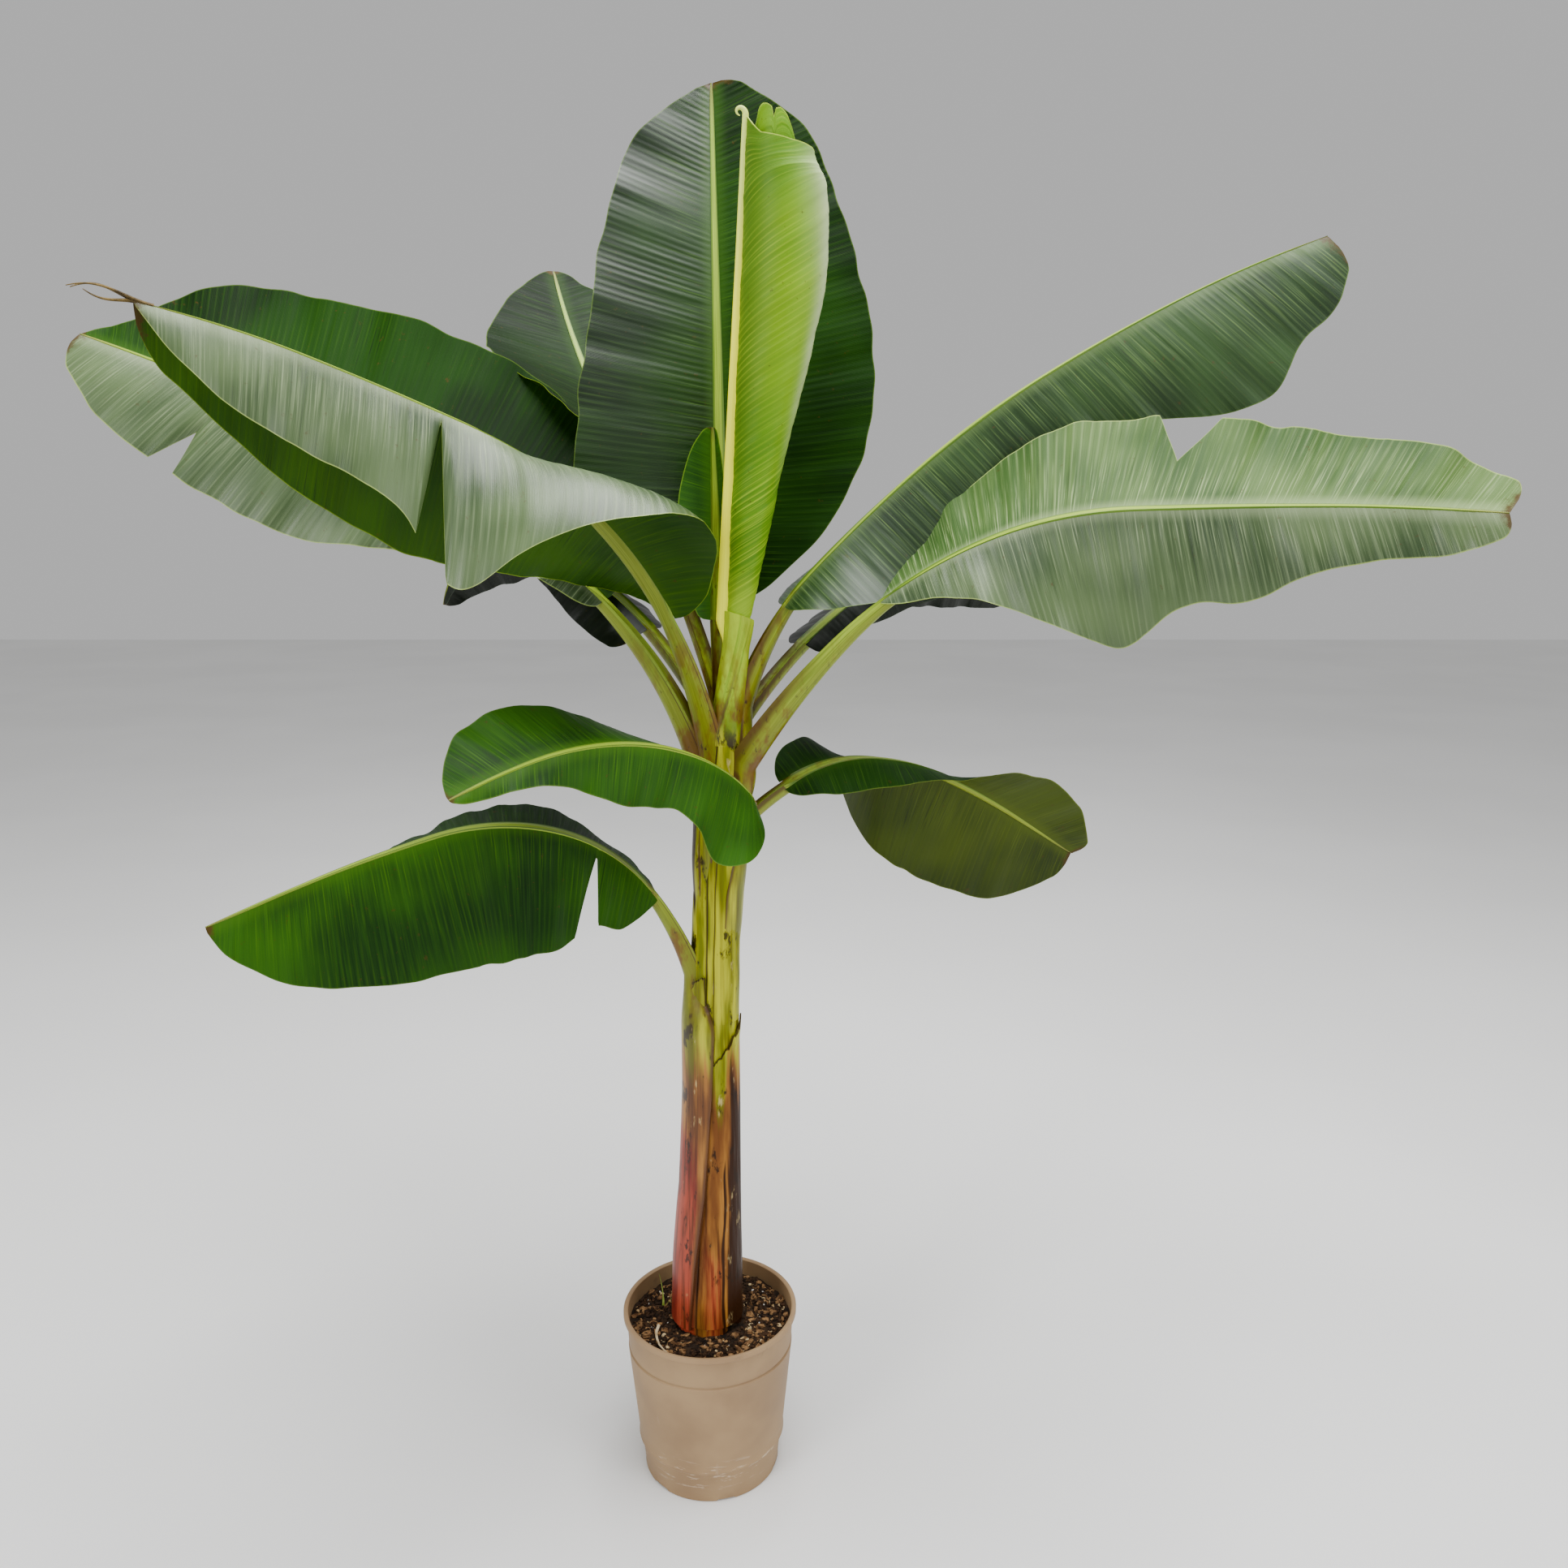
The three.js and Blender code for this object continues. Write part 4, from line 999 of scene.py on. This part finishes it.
def add_roll():
    """The new leaf, wound on itself."""
    greens = (rgb(78, 128, 0), rgb(124, 166, 0), rgb(180, 206, 40), rgb(190, 212, 76))
    bright = leaf_material("rolled_leaf", *greens, 0.46, 0.2)
    rows, columns = 290, 150
    t = np.linspace(-0.04, 1, rows)[:, None]
    turn = np.linspace(0, ROLL["rim_turns"][-1], columns)[None, :]
    outer = smooth_along(ROLL["radii"], t)
    arc = outer * TURN * turn * (1 - ROLL["wind"] * turn / 2)
    tall = ROLL["high"] - HEART["high"]
    slant = tall * t - 0.6 * arc
    swell = 0.16 * np.cos(TURN * slant / BLADE["vein"]) + 0.5 * ripple(71, slant, 31)
    swell = swell + 0.8 * ripple(72, tall * t, 160)
    ring = there_and_back(roll_point(t, turn, -swell), roll_point(t, turn, 1.2 - swell))
    inward = np.minimum(np.minimum(arc, arc.max(1, keepdims=True) - arc), (1 - t) * tall)
    spread = mix(0.055, 0.1, ease(0.55, 0.9, t))
    # A pale waxy whitening down the right of the roll, partly painted sheen.
    bloom_and_sheen = 0.62 * np.exp(-((turn - 0.41) / spread) ** 2)
    bloom_and_sheen = bloom_and_sheen * ease(0.25, 0.6, t) * (1 - 0.6 * ease(0.94, 1, t))
    # Painted shade: a darker green on the seam side of the upper roll.
    painted_shade = 0.8 * (1 - ease(0.04, 0.3, turn)) * ease(0.05, 0.5, t)
    # The reach out from the rib is kept small low down, so that the pale threads by the rib cover the foot
    # of the roll: painted light there.
    place = around(slant, mix(5, 130, ease(0, 0.5, t)), inward) * MM
    values = {"place": place, "wear_shade_sheen": around(0.5, painted_shade, bloom_and_sheen)}
    mesh = new_mesh("leaf_rolled", ring, sheet_faces(rows, columns), [bright], values=values)
    add_piece("leaf_rolled", mesh, "new_leaf", "leaf_rolled")


def add_roll_rib():
    """The pale rib up the left edge of the roll, ending in a small curled tip."""
    shader = Shader("rolled_leaf_rib", specular=0.4, roughness=0.42)
    run, turn, _ = shader.place()
    lines = shader.streaks(run, turn, 6.0, 30.0, 3.0)
    color = shader.blend(shader.spread(lines, 0.3, 0.7), rgb(244, 240, 0), rgb(255, 255, 30))
    shader.color(shader.blend(shader.spread(run, 0.35, 0.62), color, rgb(206, 222, 100)))
    shader.bump(lines, 0.3, 0.0006)
    rows, columns = 200, 18
    t = np.linspace(-0.05, 1, rows)
    point = roll_point(t, 0 * t)
    tip = np.linspace(0, 1, 40)[1:]
    curl = tip * 4.2
    size = 9 * (1 - 0.4 * tip)
    hook = point[-1] + triples(size * (np.cos(curl) - 1), 0, size * np.sin(curl) + 4 * tip)
    point = np.concatenate([point, hook])
    along_it = np.gradient(point, axis=0)
    along_it /= np.linalg.norm(along_it, axis=1, keepdims=True)
    toward = np.array([0, -1.0, 0]) + 0 * point
    side = np.cross(along_it, toward)
    side /= np.linalg.norm(side, axis=1, keepdims=True)
    width = np.concatenate([mix(10.5, 4, t) * mix(0.2, 1, ease(-0.05, 0.01, t)), mix(4, 0.6, tip)])
    deep = np.concatenate([mix(5, 2.5, t), mix(2.5, 0.6, tip)])
    rings = []
    for k in range(columns):
        a = TURN * k / columns
        rings.append(point + side * (width * (math.cos(a) - 0.3))[:, None]
                     + np.cross(side, along_it) * (deep * math.sin(a))[:, None])
    ring = np.stack(rings, 1)
    high = np.concatenate([t, 1 + 0 * tip])[:, None] * (ROLL["high"] - HEART["high"]) * MM
    values = {"place": triples(high, np.arange(columns) / columns, 0)}
    faces = tube_faces(len(point), columns)
    mesh = new_mesh("leaf_rolled_rib", ring, faces, [shader.material], values=values, sharp=60)
    add_piece("leaf_rolled_rib", mesh, "new_leaf")


# ---------------------------------------------------------- stem and sheaths


def fibres(turn, z, seed):
    """Fine ridges along the stem."""
    return 0.35 * patches(seed, turn * 40, z / 90, 1.0) + 0.2 * patches(seed + 1, turn * 120, z / 60, 1.0)


def bump_at(turn, middle, width):
    """1 at one heading of the stem, falling to 0 at that distance from it, in turns."""
    away = np.abs((turn - middle + 0.5) % 1.0 - 0.5)
    return 1 - ease(0, width, away)


def tones(turn, z):
    """How green, red and dark the stem is there, where dark is painted shade down its
    sides and in a fold, and the green comes lower at the front, partly as a painted
    highlight. The front is at three quarters of a turn and the right at none."""
    turn = turn + 0.012 * ripple(31, z, 210)
    z = z + 40 * ripple(32, turn, 0.17)
    # The front middle: the green comes lower there, partly as a painted highlight, and the foot is pinker.
    centre = bump_at(turn, 0.78, 0.12)
    green = ease(0, 240, z - mix(600, 500, centre))
    red = (1 - ease(500, 680, z)) * np.minimum(1, 1.7 * bump_at(turn, 0.57, 0.18))
    red = np.maximum(red, 0.6 * centre * (1 - ease(340, 480, z)))
    # Painted shade down the lower right side and the upper left side, and in a fold near the front.
    right = np.minimum(1, 2 * bump_at(turn, 0.925, 0.11)) * (1 - ease(600, 760, z))
    left = bump_at(turn, 0.55, 0.07) * ease(880, 960, z)
    fold = bump_at(turn, 0.825, 0.018) * (1 - ease(500, 560, z))
    dark = np.max([right, left, 0.85 * fold], axis=0)
    return green, red, dark * 0.94


def stem_ring(turn, z, reach):
    """Points round the stem."""
    x, y, _ = core_at(z)
    angle = turn * TURN
    return triples(x + reach * np.cos(angle), y + reach * np.sin(angle), z)


def add_stem():
    """The false stem: sheaths wrapped one over another, with a swollen foot."""
    rows, columns = 330, 150
    low, high = STEM["z"][0], STEM["z"][-1]
    z = np.linspace(low, high, rows)[:, None]
    turn = np.arange(columns)[None, :] / columns
    _, _, radius = core_at(z)
    layers = 0 * z + 0 * turn
    inward = 60 + layers
    # Three edges of sheaths: where they start, how far they wind and stand out.
    for first, drift, rise in ((0.30, 0.05, 1.6), (0.71, -0.02, 1.6), (0.93, 0.03, 1.5)):
        edge = first + drift * (z - low) / (high - low) + 0.008 * np.sin(z / 60 + first * 9)
        past = (turn - edge) % 1.0
        layers = layers + rise * ease(0, 0.012, past) * (1 - ease(0.02, 0.42, past))
        # Distance from the nearest sheath edge, where the painted shadow line lies.
        inward = np.minimum(inward, np.minimum(past, 1 - past) * TURN * radius)
    hollow = 9 * bump_at(turn, 0.90, 0.07) * (1 - ease(250, 286, z))
    reach = radius - 1.4 + layers - hollow + fibres(turn, z, 5)
    ring = stem_ring(turn, z, reach)
    values = {
        "place": triples(turn, z * MM, inward * MM),
        "tone": triples(*tones(turn + 0 * z, z + 0 * turn)),
    }
    material = sheath_material("stem_sheaths")
    mesh = new_mesh("stem", ring, tube_faces(rows, columns), [material], values=values, sharp=60)
    add_piece("stem", mesh, "stem", "stem")


def add_heart():
    """The top of the stem, under the rolled leaf."""
    material = rib_material("heart", rgb(168, 196, 20), rgb(116, 152, 0), rgb(100, 124, 0), 0.4)
    rows, columns = 70, 72
    t = np.linspace(0, 1, rows)[:, None]
    turn = np.arange(columns)[None, :] / columns
    radius = mix(HEART["low_radius"], HEART["high_radius"], t)
    # Two edges of sheaths wind up it.
    past = (turn - 0.55 - 0.1 * t) % 1.0
    step = 1.6 * ease(0, 0.02, past) * (1 - ease(0.03, 0.5, past))
    front = (turn - 0.66 - 0.2 * t) % 1.0
    step = step + 2.2 * ease(0, 0.015, front) * (1 - ease(0.03, 0.4, front))
    step = step * ease(0, 0.3, t)
    collar = 4.5 * ease(0.75, 1, t) + 4 * (1 - ease(0, 0.25, t))
    reach = radius - 0.8 + step + collar + 0.5 * fibres(turn, 200 * t, 9)
    lifted = ease(0.85, 1, t) * (9 + 8 * np.cos((turn - 0.6) * TURN))
    z = mix(HEART["low"], HEART["high"], t) + lifted
    ring = stem_ring(turn, z, reach)
    edge = np.minimum(front, (1 - front) * 0.6) * TURN * radius
    run = mix(-0.1, 0.06, ease(0, 0.45, t)) + 0.16 * t
    values = {
        "rib": triples(run, 0.05 + 0.17 * ease(0, 6, edge), 0),
        "place": triples(turn, z * MM, 0.06),
        "tone": triples(*tones(turn + 0 * t, z)),
    }
    mesh = new_mesh("heart", ring, tube_faces(rows, columns), [material], values=values)
    add_piece("heart", mesh, "heart", "heart")


# Old sheaths: the arc they cover in degrees, the heights of their foot and of
# the two ends of their top edge, their thickness and how dry they are. One has a
# foot that thins to nothing.
SHEATHS = [
    dict(name="sheath_red", arc=(162, 252), low=262, high=(770, 830), thick=3.5, dry=0.05),
    dict(name="sheath_cut", arc=(252, 360), low=262, high=(676, 757), thick=4, dry=0.0),
    dict(name="sheath_dark", arc=(18, 144), low=262, high=(1000, 920), thick=3, dry=0.3),
    dict(name="sheath_upper", arc=(270, 360), low=752, high=(1000, 1060), thick=3, dry=0.0, thin_foot=True),
]


def add_sheath(sheath, seed):
    rows, columns = 170, 60
    t = np.linspace(0, 1, rows)[:, None]
    s = np.linspace(0, 1, columns)[None, :]
    top = mix(*sheath["high"], s) + 4 * ripple(seed, s * 100, 30) + 2 * ripple(seed + 5, s * 100, 9)
    z = mix(sheath["low"], top, t)
    _, _, radius = core_at(z)
    first, last = sheath["arc"]
    turn = mix(first, last, s) / 360 + 0.004 * ripple(seed + 1, z, 160)
    arc = (last - first) / 360 * TURN * radius
    thick = 0.5 + (sheath["thick"] - 0.5) * np.sin(math.pi * s) ** 0.6 * mix(1, 0.55, ease(0.75, 1, t))
    if sheath.get("thin_foot"):
        thick = thick * ease(0, 0.25, t)
    lifted = 2.5 * ease(0.94, 1, t) * ease(0.3, 0.7, s)
    relief = fibres(turn, z, seed + 2) * np.sin(math.pi * s)
    # Distance in from the sheath's edges, for the painted shadow line along them.
    inward = np.minimum(np.minimum(s, 1 - s) * arc, top - z)
    face = stem_ring(turn, z, radius + 0.8 + thick + relief + lifted)
    back = stem_ring(turn, z, radius + 0.2 + lifted * 0.7)
    values = {"place": around(turn, z * MM, inward * MM), "tone": around(*tones(turn, z))}
    material = sheath_material(sheath["name"], sheath["dry"])
    ring = there_and_back(face, back)
    mesh = new_mesh(sheath["name"], ring, sheet_faces(rows, columns), [material], values=values)
    add_piece(sheath["name"], mesh, "old_sheath", sheath["name"])


# ------------------------------------------------------------- pot and soil


def pot_radius(z):
    """Radius of the outside of the pot."""
    heights = [0, POT["step_height"], POT["groove_height"], POT["height"]]
    top = POT["rim_radius"] - POT["lip_out"]
    radii = [POT["foot_radius"], POT["step_radius"], POT["groove_radius"], top]
    return np.interp(z, heights, radii)


def pot_profile():
    """The pot's section, from the middle of its underside round to its floor."""
    lip = POT["height"] - POT["lip_height"]
    step, groove = POT["step_height"], POT["groove_height"]
    at_step, at_groove, foot = pot_radius(step), pot_radius(groove), POT["foot_radius"]
    rim, top, wall = POT["rim_radius"], POT["height"], POT["wall"]
    outside = [(0, 0), (60, 0), (96, 0), (foot - 1.2, 0), (foot, 1.2)]
    outside += [(pot_radius(z) - 1, z) for z in (4, 14, 26, 38)]
    outside += [(at_step - 2.4, step - 5), (at_step - 2, step - 3), (at_step + 2, step - 1)]
    outside += [(at_step + 3, step + 1), (at_step + 2.4, step + 4)]
    outside += [(pot_radius(z) + 1, z) for z in np.linspace(step + 10, groove - 3.5, 14)]
    outside += [(at_groove - 1.6, groove - 1.5), (at_groove - 1.6, groove + 0.8)]
    outside += [(pot_radius(z), z) for z in (groove + 2.2, groove + 12, groove + 26, lip - 3)]
    outside += [(pot_radius(lip), lip - 0.6), (rim - 1.2, lip + 0.2), (rim, lip + 1.6)]
    outside += [(rim, top - 2.2), (rim - 0.7, top - 0.6), (rim - 2.2, top)]
    inside = [(rim - 5.5, top - 0.3), (rim - 7.2, top - 1.8)]
    inside += [(pot_radius(z) - wall, z) for z in np.linspace(top - 8, 6, 10)]
    return np.array(outside + inside + [(60, 5), (0, 5)], float)


def add_pot():
    profile = pot_profile()
    columns = 216
    angle = np.arange(columns)[None, :] / columns * TURN
    radius, z = profile[:, :1], profile[:, 1:]
    half_notch = POT["notch_width"] / 2 / POT["foot_radius"]
    for number in range(POT["notches"]):
        middle = math.radians(POT["first_notch"] + 360 * number / POT["notches"])
        away = np.abs((angle - middle + math.pi) % TURN - math.pi)
        raised = (away < half_notch) & (radius > POT["notch_from"]) & (z < POT["notch_height"])
        z = np.where(raised, POT["notch_height"], z)
    points = triples(radius * np.cos(angle), radius * np.sin(angle), z)
    mesh = new_mesh("pot", points, ring_faces(len(profile), columns), [pot_material()], sharp=40)
    add_piece("pot", mesh, "pot", "pot")


def soil_height(x, y):
    """Surface of the soil: a little heaped, lumpy, and pressed down at the edge."""
    away = np.hypot(x, y) / pot_radius(SOIL["top"])
    lumps = 2.4 * patches(61, x, y, 46) + 1.3 * patches(62, x, y, 17) + 0.8 * patches(63, x, y, 8)
    return SOIL["top"] + SOIL["crown"] * (1 - away**2) - 3 + lumps


def add_soil():
    material = grain_material("soil", rgb(20, 14, 9), rgb(60, 43, 28), 55.0, 0.95)
    rows, columns = 90, 200
    lost = POT["wall"] + SOIL["gap"]
    angle = np.arange(columns)[None, :] / columns * TURN
    reach = np.linspace(0, 1, rows)[:, None] * (pot_radius(SOIL["top"]) - lost)
    x, y = reach * np.cos(angle), reach * np.sin(angle)
    rings = [triples(x, y, soil_height(x, y))]
    for height, share in ((SOIL["waist"], 1), (SOIL["floor"], 1), (SOIL["floor"], 0)):
        reach = share * (pot_radius(height) - lost)
        rings.append(triples(reach * np.cos(angle), reach * np.sin(angle), height))
    points = np.concatenate(rings)
    mesh = new_mesh("soil", points, ring_faces(len(points), columns), [material], sharp=80)
    add_piece("soil", mesh, "soil", "soil")


def crumb(rng, middle, size, flat):
    """A rough lump: a bent eight-sided stone, flattened and turned at random."""
    corners = np.array([[1, 0, 0], [0, 1, 0], [-1, 0, 0], [0, -1, 0], [0.6, 0.6, 0.7], [-0.6, 0.6, 0.7],
                        [-0.6, -0.6, 0.7], [0.6, -0.6, 0.7], [0.5, 0.5, -0.7], [-0.5, 0.5, -0.7],
                        [-0.5, -0.5, -0.7], [0.5, -0.5, -0.7]], float)
    corners *= rng.uniform(0.65, 1.25, corners.shape)
    corners *= np.array([1, rng.uniform(0.45, 0.9), flat])
    spin, tilt = rng.uniform(0, TURN), rng.normal(0, 0.5)
    turn = np.array([[math.cos(spin), -math.sin(spin), 0], [math.sin(spin), math.cos(spin), 0], [0, 0, 1]])
    lean = np.array([[1, 0, 0], [0, math.cos(tilt), -math.sin(tilt)], [0, math.sin(tilt), math.cos(tilt)]])
    points = corners @ (turn @ lean).T * size + middle
    faces = np.array([
        [4, 5, 6, 7], [11, 10, 9, 8], [0, 1, 5, 4], [1, 2, 6, 5], [2, 3, 7, 6], [3, 0, 4, 7],
        [8, 9, 1, 0], [9, 10, 2, 1], [10, 11, 3, 2], [11, 8, 0, 3],
    ])
    return points, faces


def add_crumbs():
    """Loose bits on the soil: dark crumbs, bark, pale chips and white grit."""
    kinds = [
        ("crumbs", 1500, (1.8, 4.8), 0.7, rgb(24, 15, 8), rgb(74, 50, 30), 120.0),
        ("bark", 300, (3.0, 8.5), 0.35, rgb(84, 56, 32), rgb(160, 122, 80), 90.0),
        ("chips", 90, (2.2, 5.6), 0.4, rgb(160, 128, 84), rgb(210, 188, 144), 90.0),
        ("grit", 34, (1.2, 2.6), 0.8, rgb(206, 200, 188), rgb(240, 236, 228), 140.0),
    ]
    inside = pot_radius(SOIL["top"]) - POT["wall"] - 5
    for number, (kind, count, sizes, flat, dark, light, scale) in enumerate(kinds):
        rng = np.random.default_rng(500 + number)
        parts = []
        while len(parts) < count:
            away, angle = inside * math.sqrt(rng.uniform(0.1, 1)), rng.uniform(0, TURN)
            x, y = away * math.cos(angle), away * math.sin(angle)
            if math.hypot(x - STEM["x"][0], y) < STEM["radius"][0] + 3:
                continue
            size = rng.uniform(*sizes)
            z = float(soil_height(x, y)) + size * flat * 0.3
            parts.append(crumb(rng, np.array([x, y, z]), size, flat))
        material = grain_material(kind, dark, light, scale)
        add_bits("soil_" + kind, joined(parts), material, sharp=30)


def add_litter():
    """A grass shoot and a dry root on the soil, to the left of the stem, and a
    white chip to the right."""
    s = np.linspace(0, 1, 30)
    foot = float(soil_height(-76, 25)) - 4
    blades = [
        strand(triples(-76 + 4 * s - 9 * s**2, 25 - 6 * s, foot + 66 * s), 4.2, 1.2),
        strand(triples(-74 + 13 * s, 24 - 5 * s, foot + 34 * s - 10 * s**2), 3.2, 1.2),
    ]
    grass = grain_material("grass", rgb(120, 150, 40), rgb(180, 196, 96), 40.0, 0.5)
    add_bits("soil_grass", joined(blades), grass)
    x = mix(-78, -46, s) - 14 * np.sin(math.pi * s)
    y = mix(-26, -104, s)
    root = triples(x, y, soil_height(x, y) + 2.5 + 3 * np.sin(math.pi * s))
    straw = grain_material("dry_root", rgb(172, 146, 106), rgb(222, 206, 170), 60.0, 0.7)
    add_bits("soil_root", strand(root, 5.0, 3.6), straw)
    middle = np.array([60, -94, float(soil_height(60, -94)) + 3])
    white = grain_material("white_chip", rgb(206, 202, 192), rgb(240, 238, 230), 60.0, 0.7)
    add_bits("soil_chip", crumb(np.random.default_rng(9), middle, 7.5, 0.5), white, sharp=30)


# ------------------------------------------------------------ floor and light


def add_floor():
    shader = Shader("floor", specular=0.2, roughness=0.7)
    tone = shader.noise(shader.where(), 0.8, 2.0)
    shader.color(shader.blend(shader.spread(tone, 0.3, 0.7), (0.80, 0.80, 0.79, 1), (0.84, 0.84, 0.83, 1)))
    size = 12000
    points = np.array([[-size, -size, 0], [size, -size, 0], [size, size, 0], [-size, size, 0]])
    floor = bpy.data.objects.new("floor", new_mesh("floor", points, [[0, 1, 2, 3]], [shader.material]))
    bpy.context.scene.collection.objects.link(floor)


def add_light(name, place, toward, size, power):
    data = bpy.data.lights.new(name, "AREA")
    data.shape = "RECTANGLE"
    data.size, data.size_y = size
    data.energy = power
    light = bpy.data.objects.new(name, data)
    light.location = place
    aim = np.array(toward, float) - np.array(place, float)
    flat = math.hypot(aim[0], aim[1])
    light.rotation_euler = (math.atan2(flat, -aim[2]), 0, math.atan2(-aim[0], aim[1]))
    bpy.context.scene.collection.objects.link(light)


def add_studio():
    world = bpy.data.worlds.new("studio")
    world.use_nodes = True
    world.node_tree.nodes["Background"].inputs["Color"].default_value = (1, 1, 1, 1)
    world.node_tree.nodes["Background"].inputs["Strength"].default_value = 0.52
    bpy.context.scene.world = world
    add_light("overhead", (0.3, -0.2, 4.2), (0, 0, 1.2), (3.0, 2.4), 290)
    add_light("front_left", (-3.0, -3.4, 2.8), (0, 0, 1.2), (1.6, 1.6), 100)
    add_light("front_right", (3.4, -2.6, 2.2), (0, 0, 1.2), (1.6, 1.8), 62)


# --------------------------------------------------------------- all together

add_studio()
add_floor()
add_pot()
add_soil()
add_crumbs()
add_litter()
add_stem()
add_heart()
for seed, sheath in enumerate(SHEATHS):
    add_sheath(sheath, 10 * seed)
add_roll()
add_roll_rib()
add_leaves()
